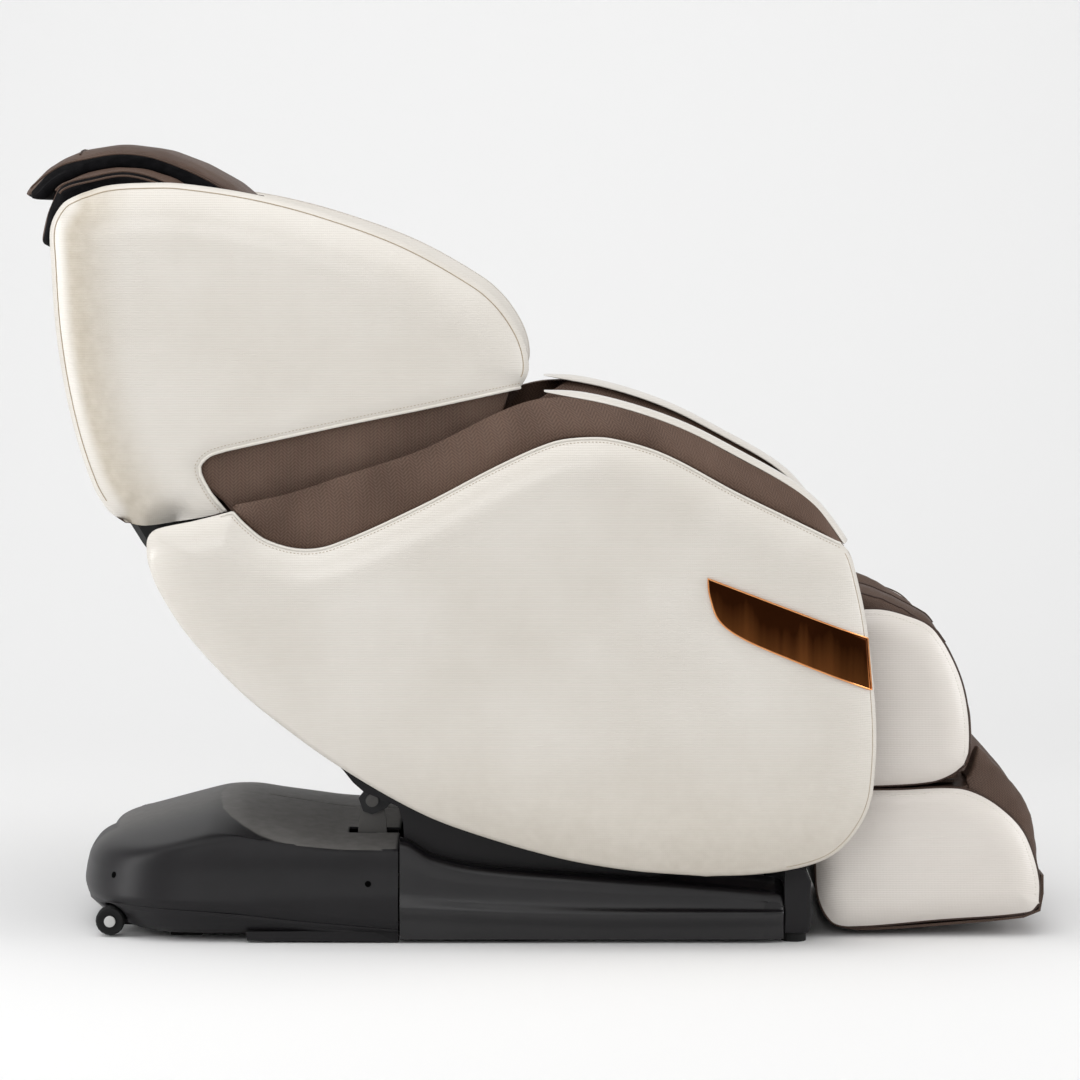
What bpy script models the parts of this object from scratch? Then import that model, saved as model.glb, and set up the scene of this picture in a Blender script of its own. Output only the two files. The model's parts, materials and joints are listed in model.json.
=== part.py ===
"""Massage chair: wing-sided backrest, crowned arm shells, two-part leg rest, sliding and tilting seat.

Metres. The chair faces +X, +Z is up, Y = 0 is its middle plane and the floor is Z = 0.
Outlines are (x, z) points of the side view at rest; widths are measured from the middle plane.
"""
import math

import bmesh
import bpy
from mathutils import Vector

for leftover in list(bpy.data.objects):
    bpy.data.objects.remove(leftover, do_unlink=True)

# ---------------------------------------------------------------- driving dimensions
GAP = 0.0003                # clearance between pieces that touch

ARM_CROWN = 0.392           # half width over the crowned arm shells
ARM_RIM = 0.368             # half width at the arm shells' edges
ARM_WALL = 0.012            # moulded shell with padding and leatherette
ARM_INNER = 0.270           # half width between the arm linings
LINING_WALL = 0.008
BAND_WALL = 0.0045

WING_CROWN = 0.345          # the wings swing inside the arm shells
WING_RIM = 0.312
WING_LOW_RIM = 0.338
WING_WALL = 0.010
SKIRT_WALL = 0.006

PAD_HALF = 0.245            # back cushion
WING_INNER = PAD_HALF + 0.0045   # half width between the wing linings
PILLOW_HALF = 0.190
CUSHION_HALF = 0.262        # seat cushion

SIDE_CROWN = 0.262          # half width over the leg rest's side panels
SIDE_RIM = 0.242
SIDE_WALL = 0.008
CASING_HALF = 0.2108        # calf casing, between the calf frame's arms
WELL_HALF = 0.2335          # leg wells, between the side panels

BASE_HALF = 0.310           # half width of the plastic base
BASE_REAR = 0.210           # the rounded rear reaches this far behind the straight sides
COVER_WALL = 0.004
TRAY_FLOOR = 0.0090         # underside of the rear tray and the frame's lowest level
RAIL_Y = 0.170              # slide rails

WHEEL_RADIUS = 0.0225
PIN_RADIUS = 0.010          # pivot pins
BORE_SLACK = 0.0003         # radial clearance of a pin in its ear

TILT_PIVOT = (-0.250, 0.205)
RECLINE_PIVOT = (-0.170, 0.455)
LIFT_PIVOT = (0.415, 0.490)
PILLOW_PIVOT = (-0.7635, 1.132)
BACK_LEAN = math.radians(29.0)   # the backrest's guide rails, from upright

ROLLER_RADIUS = 0.024

# ---------------------------------------------------------------- outlines of the side view
ARM_REAR_TOP = [(-0.582, 0.610), (-0.579, 0.630), (-0.568, 0.642), (-0.510, 0.655), (-0.450, 0.670)]
ARM_BAND_EDGE = [(-0.450, 0.670), (-0.431, 0.650), (-0.401, 0.627), (-0.348, 0.613), (-0.300, 0.620),
                 (-0.169, 0.678), (-0.047, 0.741), (0.030, 0.774), (0.076, 0.781), (0.122, 0.779),
                 (0.199, 0.756), (0.307, 0.699), (0.391, 0.658), (0.465, 0.622)]
ARM_BOTTOM = [(-0.582, 0.610), (-0.579, 0.590), (-0.566, 0.554), (-0.523, 0.485), (-0.450, 0.404),
              (-0.389, 0.352), (-0.305, 0.290), (-0.203, 0.228), (-0.123, 0.191), (0.031, 0.144),
              (0.148, 0.123), (0.264, 0.114)]
ARM_FRONT = [(0.264, 0.114), (0.341, 0.117), (0.406, 0.127), (0.449, 0.142), (0.476, 0.163),
             (0.497, 0.191), (0.510, 0.218), (0.517, 0.249), (0.521, 0.322), (0.517, 0.397),
             (0.505, 0.499), (0.492, 0.562), (0.479, 0.606), (0.465, 0.622)]
ARM_CREASE = [(-0.452, 0.678), (-0.370, 0.695), (-0.278, 0.725), (-0.169, 0.761), (-0.062, 0.813),
              (-0.018, 0.831), (0.018, 0.839), (0.058, 0.840)]
ARM_TOP_LINE = [(0.018, 0.839), (0.058, 0.840), (0.138, 0.823), (0.230, 0.791), (0.307, 0.751),
                (0.392, 0.704), (0.434, 0.670), (0.471, 0.617)]
LINING_REAR = [(-0.110, 0.735), (-0.040, 0.776), (0.018, 0.815)]
BADGE_TOP = [(0.263, 0.571), (0.507, 0.478)]
BADGE_BOTTOM = [(0.263, 0.571), (0.266, 0.545), (0.280, 0.508), (0.313, 0.482), (0.392, 0.447), (0.514, 0.399)]

WING_REAR = [(-0.618, 0.649), (-0.642, 0.664), (-0.668, 0.706), (-0.699, 0.805), (-0.720, 0.926),
             (-0.728, 1.047), (-0.728, 1.098), (-0.709, 1.132), (-0.682, 1.147)]
WING_TOP = [(-0.682, 1.147), (-0.641, 1.159), (-0.584, 1.163), (-0.530, 1.162), (-0.417, 1.145),
            (-0.311, 1.117), (-0.192, 1.073), (-0.085, 1.013), (-0.049, 0.982), (-0.022, 0.944),
            (-0.008, 0.909), (-0.006, 0.876), (-0.019, 0.852)]
WING_TONGUE = [(-0.618, 0.649), (-0.588, 0.644), (-0.504, 0.658), (-0.462, 0.668)]
WING_NOTCH = [(-0.462, 0.668), (-0.486, 0.698), (-0.501, 0.733), (-0.488, 0.750), (-0.463, 0.759)]
WING_LOW_EDGE = [(-0.463, 0.759), (-0.381, 0.777), (-0.274, 0.800), (-0.165, 0.822), (-0.071, 0.842),
                 (-0.019, 0.852)]

PAD_INNER = [(-0.200, 0.490), (-0.250, 0.570), (-0.340, 0.700), (-0.440, 0.860), (-0.500, 0.985),
             (-0.550, 1.085), (-0.600, 1.135), (-0.655, 1.145), (-0.695, 1.130), (-0.7165, 1.100),
             (-0.7215, 1.060)]
PAD_OUTER = [(-0.135, 0.515), (-0.175, 0.590), (-0.262, 0.705), (-0.362, 0.862), (-0.430, 1.020),
             (-0.485, 1.105), (-0.545, 1.163), (-0.612, 1.186), (-0.667, 1.180), (-0.730, 1.157),
             (-0.757, 1.071)]
PILLOW_OUTER = [(-0.350, 0.960), (-0.358, 1.020), (-0.402, 1.100), (-0.474, 1.166), (-0.572, 1.211),
                (-0.632, 1.220), (-0.689, 1.212), (-0.732, 1.200), (-0.775, 1.170), (-0.795, 1.144)]
COVER_REAR = [(-0.215, 0.390), (-0.270, 0.375), (-0.335, 0.385), (-0.415, 0.425), (-0.500, 0.490),
              (-0.586, 0.589), (-0.634, 0.664), (-0.660, 0.706), (-0.690, 0.805), (-0.711, 0.926),
              (-0.7190, 1.052)]

CUSHION_TOP = [(-0.100, 0.400), (-0.098, 0.480), (-0.070, 0.503), (0.100, 0.500), (0.300, 0.512),
               (0.362, 0.500), (0.384, 0.460), (0.385, 0.400)]
CALF_TOP = [(0.430, 0.480), (0.446, 0.503), (0.509, 0.510), (0.543, 0.509), (0.580, 0.499), (0.606, 0.488),
            (0.623, 0.473), (0.645, 0.438), (0.663, 0.394), (0.673, 0.342), (0.674, 0.290), (0.667, 0.268)]
CALF_LOW = [(0.430, 0.480), (0.428, 0.360), (0.428, 0.250), (0.440, 0.235), (0.529, 0.235), (0.616, 0.241),
            (0.648, 0.253), (0.667, 0.268)]
CALF_CREST = [(0.466, 0.547), (0.503, 0.551), (0.535, 0.542), (0.562, 0.531), (0.590, 0.508),
              (0.616, 0.488), (0.641, 0.455), (0.663, 0.410), (0.676, 0.366), (0.682, 0.313),
              (0.678, 0.270), (0.655, 0.243)]
CALF_BACK = [(0.465, 0.520), (0.478, 0.515), (0.492, 0.506), (0.500, 0.496), (0.505, 0.482),
             (0.505, 0.460), (0.505, 0.430), (0.505, 0.395), (0.505, 0.355), (0.505, 0.310),
             (0.505, 0.270), (0.505, 0.243)]
CALF_CASING = [(0.655, 0.2365), (0.447, 0.2365), (0.434, 0.250), (0.434, 0.440), (0.446, 0.470),
               (0.452, 0.500), (0.462, 0.515)]
FOOT_TOP = [(0.446, 0.214), (0.470, 0.226), (0.574, 0.230), (0.657, 0.232), (0.697, 0.219), (0.734, 0.193),
            (0.759, 0.165), (0.775, 0.129), (0.785, 0.087), (0.785, 0.052)]
FOOT_LOW = [(0.446, 0.214), (0.438, 0.180), (0.438, 0.115), (0.443, 0.059), (0.463, 0.023), (0.492, 0.015),
            (0.631, 0.026), (0.770, 0.038), (0.785, 0.052)]
FOOT_CASING = [(0.449, 0.205), (0.449, 0.060), (0.457, 0.028), (0.482, 0.011), (0.534, 0.009),
               (0.660, 0.018), (0.775, 0.0295), (0.788, 0.038), (0.7925, 0.052), (0.7925, 0.095)]
FOOT_CREST = [(0.690, 0.300), (0.712, 0.277), (0.746, 0.245), (0.774, 0.206), (0.787, 0.166),
              (0.788, 0.130), (0.787, 0.100), (0.772, 0.046)]
FOOT_BACK = [(0.686, 0.252), (0.672, 0.230), (0.610, 0.226), (0.550, 0.210), (0.546, 0.160),
             (0.546, 0.110), (0.550, 0.060), (0.600, 0.034)]

BASE_PARTING = [(-0.710, 0.0510), (-0.690, 0.0530), (-0.640, 0.0555), (-0.600, 0.0555), (-0.526, 0.0520),
                (-0.457, 0.0470), (-0.352, 0.0350), (-0.206, 0.0225)]
DECK_EDGE = [(-0.500, 0.1560), (-0.366, 0.1530), (-0.305, 0.1490), (-0.206, 0.1430)]
DECK_MIDDLE = [(-0.420, 0.1896), (-0.316, 0.1735), (-0.2685, 0.1700), (-0.206, 0.1675)]


# ---------------------------------------------------------------- curves and outlines
def smooth_path(points, spans):
    """Return spans + 1 evenly spaced points on a smooth curve through the given points."""
    knots = [Vector(p) for p in points]
    lengths = [(b - a).length for a, b in zip(knots, knots[1:])]
    slopes = []
    for i in range(len(knots)):
        low, high = max(i - 1, 0), min(i + 1, len(knots) - 1)
        slopes.append((knots[high] - knots[low]) / sum(lengths[low:high]))
    fine = []
    for i, length in enumerate(lengths):
        for step in range(12):
            t = step / 12.0
            fine.append(knots[i] * (1 + 2 * t) * (1 - t) ** 2 + slopes[i] * length * t * (1 - t) ** 2
                        + knots[i + 1] * t * t * (3 - 2 * t) + slopes[i + 1] * length * t * t * (t - 1))
    fine.append(knots[-1])
    return evenly(fine, spans)


def evenly(points, spans):
    """Return spans + 1 points spread evenly along a polyline."""
    path = [Vector(p) for p in points]
    reach = [0.0]
    for a, b in zip(path, path[1:]):
        reach.append(reach[-1] + (b - a).length)
    spread = []
    leg = 0
    for k in range(spans + 1):
        goal = reach[-1] * k / spans
        while leg < len(path) - 2 and reach[leg + 1] < goal:
            leg += 1
        t = (goal - reach[leg]) / (reach[leg + 1] - reach[leg])
        spread.append(path[leg].lerp(path[leg + 1], min(max(t, 0.0), 1.0)))
    return spread


def join_paths(*paths):
    """Join paths end to end, keeping each shared end once."""
    joined = list(paths[0])
    for path in paths[1:]:
        joined += path[1:]
    return joined


def value_at(points, x):
    """Read the height of an (x, height) outline at x, by straight lines."""
    if x <= points[0][0]:
        return points[0][1]
    for (x0, h0), (x1, h1) in zip(points, points[1:]):
        if x <= x1:
            return h0 + (h1 - h0) * (x - x0) / (x1 - x0)
    return points[-1][1]


def offset_path(path, distance):
    """Move a polyline sideways, to its left when distance is positive."""
    moved = []
    for i, point in enumerate(path):
        ahead = (path[min(i + 1, len(path) - 1)] - path[max(i - 1, 0)]).normalized()
        moved.append(point + Vector((-ahead.y, ahead.x)) * distance)
    return moved


def distance_to_path(point, path):
    """Return the shortest distance from a point to a polyline."""
    nearest = 9.0
    for a, b in zip(path, path[1:]):
        along = b - a
        t = min(max((point - a).dot(along) / along.length_squared, 0.0), 1.0)
        nearest = min(nearest, (a + along * t - point).length)
    return nearest


def crown(flat, edges):
    """Return a half width over (x, z): flat inside, moved by change within reach of each edge."""
    def half_width(point, share):
        shift = 0.0
        for path, change, reach in edges:
            near = min(distance_to_path(point, path) / reach, 1.0)
            part = change * (1.0 - near) ** 2.2
            if abs(part) > abs(shift):
                shift = part
        return flat + shift
    return half_width


def back_point(up, forward):
    """Return (x, z) of a place given along and across the backrest's guide rails."""
    x, z = RECLINE_PIVOT
    return (x - up * math.sin(BACK_LEAN) + forward * math.cos(BACK_LEAN),
            z + up * math.cos(BACK_LEAN) + forward * math.sin(BACK_LEAN))


# ---------------------------------------------------------------- finishes
def finish(name, colour, roughness, metallic=0.0):
    """Make a Principled material."""
    material = bpy.data.materials.new(name)
    material.use_nodes = True
    shader = material.node_tree.nodes["Principled BSDF"]
    shader.inputs["Base Color"].default_value = (*colour, 1.0)
    shader.inputs["Roughness"].default_value = roughness
    shader.inputs["Metallic"].default_value = metallic
    material.diffuse_color = (*colour, 1.0)
    return material


IVORY = finish("ivory_leatherette", (0.72, 0.67, 0.58), 0.45)
BROWN = finish("brown_leatherette", (0.13, 0.085, 0.065), 0.55)
DARK_CLOTH = finish("dark_mesh_cloth", (0.012, 0.012, 0.016), 0.85)
BLACK_PLASTIC = finish("black_plastic", (0.022, 0.020, 0.022), 0.35)
GREY_PLASTIC = finish("grey_plastic", (0.10, 0.098, 0.094), 0.45)
GLOSS_BLACK = finish("gloss_black", (0.008, 0.008, 0.010), 0.08)
COPPER_BROWN = finish("copper_brown", (0.12, 0.045, 0.015), 0.12, 0.6)
STEEL = finish("painted_steel", (0.06, 0.06, 0.065), 0.45, 0.6)
BRIGHT_STEEL = finish("bright_steel", (0.55, 0.55, 0.56), 0.25, 1.0)
RUBBER = finish("rubber", (0.012, 0.012, 0.012), 0.80)
NYLON = finish("white_nylon", (0.62, 0.60, 0.55), 0.40)


# ---------------------------------------------------------------- joints' empties
def pivot_empty(name, place, parent=None):
    """Add an empty at a joint's (x, y, z), under the empty of the body that carries it."""
    empty = bpy.data.objects.new(name, None)
    bpy.context.scene.collection.objects.link(empty)
    empty["place"] = place
    empty.parent = parent
    origin = Vector(parent["place"]) if parent else Vector((0, 0, 0))
    empty.location = Vector(place) - origin
    return empty


BASE = pivot_empty("base_origin", (0.0, 0.0, 0.0))
CARRIAGE = pivot_empty("seat_slide_origin", (0.0, 0.0, 0.0), BASE)
SEAT = pivot_empty("seat_tilt_axis", (TILT_PIVOT[0], 0.0, TILT_PIVOT[1]), CARRIAGE)
BACK = pivot_empty("back_recline_axis", (RECLINE_PIVOT[0], 0.0, RECLINE_PIVOT[1]), SEAT)
PILLOW = pivot_empty("pillow_flip_axis", (PILLOW_PIVOT[0], 0.0, PILLOW_PIVOT[1]), BACK)
CALF = pivot_empty("leg_lift_axis", (LIFT_PIVOT[0], 0.0, LIFT_PIVOT[1]), SEAT)
FOOT = pivot_empty("foot_extend_origin", (LIFT_PIVOT[0], 0.0, LIFT_PIVOT[1]), CALF)


# ---------------------------------------------------------------- solids
def add_piece(name, points, faces, material, home):
    """Link a closed mesh given in world coordinates, with its origin at its body's empty."""
    mesh = bpy.data.meshes.new(name)
    origin = Vector(home["place"])
    mesh.from_pydata([Vector(p) - origin for p in points], [], faces)
    work = bmesh.new()
    work.from_mesh(mesh)
    bmesh.ops.remove_doubles(work, verts=work.verts, dist=1e-6)
    bmesh.ops.recalc_face_normals(work, faces=work.faces)
    if work.calc_volume(signed=True) < 0:
        bmesh.ops.reverse_faces(work, faces=work.faces)
    work.to_mesh(mesh)
    work.free()
    mesh.shade_smooth()
    mesh.set_sharp_from_angle(angle=math.radians(35))
    mesh.materials.append(material)
    piece = bpy.data.objects.new(name, mesh)
    bpy.context.scene.collection.objects.link(piece)
    piece.parent = home
    return piece


def grid_solid(name, outer, inner, material, home):
    """Close the space between two matching grids of points."""
    rows, columns = len(outer), len(outer[0])
    points = [p for grid in (outer, inner) for row in grid for p in row]

    def at(layer, i, j):
        return (layer * rows + i) * columns + j

    faces = []
    for i in range(rows - 1):
        for j in range(columns - 1):
            faces.append((at(0, i, j), at(0, i, j + 1), at(0, i + 1, j + 1), at(0, i + 1, j)))
            faces.append((at(1, i, j), at(1, i + 1, j), at(1, i + 1, j + 1), at(1, i, j + 1)))
        for j in (0, columns - 1):
            faces.append((at(0, i, j), at(0, i + 1, j), at(1, i + 1, j), at(1, i, j)))
    for i in (0, rows - 1):
        for j in range(columns - 1):
            faces.append((at(0, i, j), at(1, i, j), at(1, i, j + 1), at(0, i, j + 1)))
    return add_piece(name, points, faces, material, home)


def crowned_shell(name, upper, lower, across, half_width, wall, side, material, home):
    """Stretch a shell over the area between two chains; wall is measured along Y, away from the face."""
    outer, inner = [], []
    for high, low in zip(upper, lower):
        line = [low.lerp(high, t) for t in across]
        widths = [half_width(p, t) for p, t in zip(line, across)]
        outer.append([(p.x, side * w, p.y) for p, w in zip(line, widths)])
        inner.append([(p.x, side * (w - wall), p.y) for p, w in zip(line, widths)])
    return grid_solid(name, outer, inner, material, home)


def plate(name, outline, low, high, material, home):
    """Extrude an (x, z) outline from y = low to y = high."""
    count = len(outline)
    points = [(p[0], y, p[1]) for y in (low, high) for p in outline]
    faces = [tuple(range(count)), tuple(range(2 * count - 1, count - 1, -1))]
    faces += [(i, (i + 1) % count, count + (i + 1) % count, count + i) for i in range(count)]
    return add_piece(name, points, faces, material, home)


def block(name, low, high, material, home):
    """Add a box between two corners."""
    outline = [(low[0], low[2]), (high[0], low[2]), (high[0], high[2]), (low[0], high[2])]
    return plate(name, outline, low[1], high[1], material, home)


def circle(centre, radius, sides):
    """Return an (x, z) circle."""
    turn = 2 * math.pi / sides
    return [(centre[0] + radius * math.cos(turn * k), centre[1] + radius * math.sin(turn * k))
            for k in range(sides)]


def cross_pin(name, centre, radius, low, high, material, home, sides=16):
    """Add a round bar along Y."""
    return plate(name, circle(centre, radius, sides), low, high, material, home)


def turned_ring(name, centre, profile, material, home, sides=24):
    """Turn a closed (radius, y) profile about the Y line through centre."""
    points, faces = [], []
    for k in range(sides):
        angle = 2 * math.pi * k / sides
        points += [(centre[0] + r * math.cos(angle), y, centre[1] + r * math.sin(angle)) for r, y in profile]
    count = len(profile)
    for k in range(sides):
        here, there = k * count, (k + 1) % sides * count
        faces += [(here + i, here + (i + 1) % count, there + (i + 1) % count, there + i) for i in range(count)]
    return add_piece(name, points, faces, material, home)


def combine(piece, tool, operation):
    """Join a hidden solid to a piece, or cut it out of it."""
    change = piece.modifiers.new(operation.lower() + "_" + tool.name, "BOOLEAN")
    change.operation = operation
    change.solver = "EXACT"
    change.object = tool
    tool.hide_render = True
    tool.display_type = "WIRE"
    return piece


def weld(piece, *members):
    """Weld members to a piece so that they are one body."""
    for member in members:
        combine(piece, member, "UNION")
    return piece


def cut(piece, *cutters):
    """Cut openings out of a piece."""
    for cutter in cutters:
        combine(piece, cutter, "DIFFERENCE")
    return piece


def folded_sheet(name, path, wall, half, material, home):
    """Extrude a bent sheet across the chair; its wall lies to the right of the path."""
    outer = [[(p.x, y, p.y) for y in (-half, half)] for p in path]
    inner = [[(p.x, y, p.y) for y in (-half, half)] for p in offset_path(path, -wall)]
    return grid_solid(name, outer, inner, material, home)


def pad_between(name, face, back, half, crest, spots, material, home):
    """Pad from a back line to a face line; crest gives its share of full depth across the chair."""
    mirrored = [-spot for spot in reversed(spots[1:])] + list(spots)
    outer, inner = [], []
    for front, rear in zip(face, back):
        line = [rear.lerp(front, crest(abs(spot))) for spot in mirrored]
        outer.append([(p.x, spot * half, p.y) for p, spot in zip(line, mirrored)])
        inner.append([(rear.x, spot * half, rear.y) for spot in mirrored])
    return grid_solid(name, outer, inner, material, home)


def sides_of(label):
    """Name a piece for each side: the sitter's right is at -Y."""
    return ((label + "_right", -1), (label + "_left", 1))


def span(side, inner, outer):
    """Return a low and high y for a range of half widths on one side."""
    return (inner, outer) if side > 0 else (-outer, -inner)


# ---------------------------------------------------------------- base
def plan_path():
    """Walk the base's plan outline: right side, rounded rear, left side."""
    start, power = -0.500, 2.6
    half = [(x, -BASE_HALF) for x in (-0.206, -0.280, -0.360, -0.440, start)]
    for k in range(1, 8):
        angle = math.pi / 2 * k / 8
        x = start - BASE_REAR * math.sin(angle) ** (2 / power)
        half.append((x, -BASE_HALF * math.cos(angle) ** (2 / power)))
    return half + [(start - BASE_REAR, 0.0)] + [(x, -y) for x, y in reversed(half)]


def base_skin(name, rear_insets, side_insets, height_at, wall, material, turn=3.0):
    """Sweep a profile round the base's plan outline and close it over the middle."""
    last = len(rear_insets)
    grid = []
    for x, y in plan_path():
        edge = Vector((x, y))
        inward = Vector((max(x, -0.420), 0.0)) - edge
        blend = 1.0 if x > -0.505 else (abs(y) / BASE_HALF) ** turn
        column = []
        for level, (rear, side) in enumerate(zip(rear_insets, side_insets)):
            spot = edge + inward.normalized() * (rear + (side - rear) * blend)
            column.append((spot.x, spot.y, height_at(level, x, blend)))
        column.append((max(x, -0.420), 0.0, height_at(last, x, blend)))
        grid.append(column)
    return open_skin(name, grid, Vector((-0.400, 0.0, 0.085)), wall, material, BASE)


def open_skin(name, grid, inside, wall, material, home):
    """Thicken an open grid of points inward; inside is a point on its hollow side."""
    columns = len(grid[0])
    points = [p for row in grid for p in row]
    faces = []
    for i in range(len(grid) - 1):
        for j in range(columns - 1):
            here = i * columns + j
            faces.append((here, here + 1, here + columns + 1, here + columns))
    skin = add_piece(name, points, faces, material, home)
    origin = Vector(home["place"])
    facing = sum((f.center + origin - inside).dot(f.normal) * f.area for f in skin.data.polygons)
    if facing < 0:
        skin.data.flip_normals()
    thicken = skin.modifiers.new("wall", "SOLIDIFY")
    thicken.thickness = wall
    thicken.offset = -1.0
    thicken.use_even_offset = True
    return skin


def cover_height(level, x, blend):
    """Height of the rear cover: a domed rear that runs into a low domed deck with steep sides."""
    parting = value_at(BASE_PARTING, x)
    edge, middle = value_at(DECK_EDGE, x), value_at(DECK_MIDDLE, x)
    rise = middle - edge
    rear = (parting, 0.077, 0.097, 0.110, 0.140, 0.1565, 0.1705, 0.1835, 0.1925, middle)[level]
    side = (parting, 0.075, 0.110, 0.134, edge, edge + 0.25 * rise, edge + 0.5 * rise, edge + 0.75 * rise,
            edge + 0.95 * rise, middle)[level]
    return rear + (side - rear) * blend


def rear_base_cover():
    """Moulded rear cover with a recess for the power inlet and slots for the carriage's uprights."""
    cover = base_skin("rear_base_cover", [0.002, 0.0, 0.005, 0.014, 0.043, 0.090, 0.137, 0.190, 0.244],
                      [0.002, 0.0, 0.004, 0.011, 0.026, 0.060, 0.110, 0.170, 0.250],
                      cover_height, COVER_WALL, BLACK_PLASTIC)
    cuts = [block("power_recess", (-0.720, 0.0300, 0.1170), (-0.602, 0.1700, 0.1455), BLACK_PLASTIC, BASE)]
    for side in (-1, 1):
        low, high = span(side, 0.1640, 0.1970)
        cuts.append(block("upright_slot", (TILT_PIVOT[0] - 0.036, low, 0.080), (-0.150, high, 0.300),
                          BLACK_PLASTIC, BASE))
    return cut(cover, *cuts)


def tray_height(level, x, blend):
    """Height of the under-tray: a boat-like rear that flattens towards the floor."""
    parting = value_at(BASE_PARTING, x) - 2 * GAP
    side_drop = parting - TRAY_FLOOR
    rear = (parting, parting - 0.006, 0.031, 0.0195, 0.0130, TRAY_FLOOR, TRAY_FLOOR)[level]
    side = (parting, parting - 0.15 * side_drop, parting - 0.35 * side_drop, parting - 0.65 * side_drop,
            parting - 0.90 * side_drop, TRAY_FLOOR, TRAY_FLOOR)[level]
    return rear + (side - rear) * blend


def rear_tray():
    """Under-tray with low side flanges and the brackets and stub axles of the transport wheels."""
    tray = base_skin("rear_tray", [0.0035, 0.0035, 0.020, 0.036, 0.056, 0.110],
                     [0.0035, 0.0035, 0.0075, 0.013, 0.026, 0.050], tray_height, 0.0035, BLACK_PLASTIC, 6.0)
    for label, side in sides_of("wheel_bay"):
        cut(tray, cross_pin(label, (-0.654, 0.025), 0.0270, *span(side, BASE_HALF - 0.0870, BASE_HALF + 0.020),
                            BLACK_PLASTIC, BASE, 32))
    for label, side in sides_of("wheel_bracket"):
        arm = plate(label, [(-0.664, 0.016), (-0.560, 0.011), (-0.560, 0.040), (-0.640, 0.048),
                            (-0.668, 0.038)], *span(side, BASE_HALF - 0.150, BASE_HALF - 0.094), BLACK_PLASTIC, BASE)
        stub = cross_pin(label + "_stub", (-0.654, 0.025), 0.006,
                         *span(side, BASE_HALF - 0.100, BASE_HALF - 0.0575), BLACK_PLASTIC, BASE, 14)
        flange = plate(label + "_flange", [(-0.440, 0.0180), (-0.438, 0.0040), (-0.206, 0.0020), (-0.206, 0.0180)],
                       *span(side, BASE_HALF - 0.0150, BASE_HALF - 0.0100), BLACK_PLASTIC, BASE)
        weld(tray, arm, stub, flange)
    return tray


def base_frame():
    """Welded frame: two long tubes, cross tubes, two slide rails and flat feet bars."""
    frame = block("base_frame", (-0.520, -0.225, 0.021), (0.3867, -0.200, 0.046), STEEL, BASE)
    members = [block("long_tube", (-0.520, 0.200, 0.021), (0.3867, 0.225, 0.046), STEEL, BASE)]
    for x in (-0.340, -0.010, 0.350):
        members.append(block("cross_tube", (x, -0.210, 0.0225), (x + 0.025, 0.210, 0.0475), STEEL, BASE))
    for side in (-1, 1):
        low, high = span(side, RAIL_Y - 0.010, RAIL_Y + 0.010)
        members.append(block("slide_rail", (-0.335, low, 0.0460), (0.3800, high, 0.0660), STEEL, BASE))
    for x, half in ((-0.500, 0.245), (-0.070, BASE_HALF - 0.0103), (0.330, BASE_HALF - 0.0103)):
        members.append(block("floor_bar", (x, -half, 0.0128), (x + 0.040, half, 0.0218), STEEL, BASE))
    members.append(block("cover_bar", (-0.300, 0.0078 - BASE_HALF, 0.0360), (-0.270, BASE_HALF - 0.0078, 0.0458),
                         STEEL, BASE))
    return weld(frame, *members)


def side_covers():
    """Long lower side mouldings with a crease along the top and a second ridge half way down."""
    crease = [(-0.203, 0.156), (-0.187, 0.151), (-0.155, 0.131), (-0.086, 0.115), (0.072, 0.101),
              (0.228, 0.090), (0.377, 0.075), (0.386, 0.068)]
    ridge = [(-0.203, 0.054), (-0.050, 0.043), (0.100, 0.033), (0.200, 0.034), (0.386, 0.044)]
    stations = [-0.2035, -0.187, -0.171, -0.155, -0.120, -0.086, 0.000, 0.100, 0.200, 0.300, 0.377, 0.386]
    for label, side in sides_of("side_cover"):
        outer, inner = [], []
        for x in stations:
            high, low = value_at(crease, x), value_at(ridge, x)
            insets = (0.048, 0.026, 0.011, 0.005, 0.0, 0.0055, 0.006, 0.006)
            heights = (high + 0.002, high + 0.004, high, 0.55 * high + 0.45 * low, low, low - 0.012, 0.018, 0.006)
            section = [Vector((BASE_HALF - inset, height)) for inset, height in zip(insets, heights)]
            outer.append([(x, side * p.x, p.y) for p in section])
            inner.append([(x, side * p.x, p.y) for p in offset_path(section, -COVER_WALL)])
        grid_solid(label, outer, inner, BLACK_PLASTIC, BASE)


def front_foot_block():
    """Cross moulding at the front of the base, over the two round feet."""
    outline = [(0.3870, 0.0145), (0.4240, 0.0145), (0.4285, 0.030), (0.4285, 0.095), (0.4200, 0.112),
               (0.4080, 0.118), (0.3870, 0.118)]
    plate("front_foot_block", outline, 0.014 - BASE_HALF, BASE_HALF - 0.014, BLACK_PLASTIC, BASE)


def upright_disc(name, centre, radius, low, high, material, home, sides=20):
    """Add a round pad standing on the floor."""
    ring = [(centre[0] + radius * math.cos(2 * math.pi * k / sides),
             centre[1] + radius * math.sin(2 * math.pi * k / sides)) for k in range(sides)]
    points = [(x, y, z) for z in (low, high) for x, y in ring]
    faces = [tuple(range(sides)), tuple(range(2 * sides - 1, sides - 1, -1))]
    faces += [(i, (i + 1) % sides, sides + (i + 1) % sides, sides + i) for i in range(sides)]
    return add_piece(name, points, faces, material, home)


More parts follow.
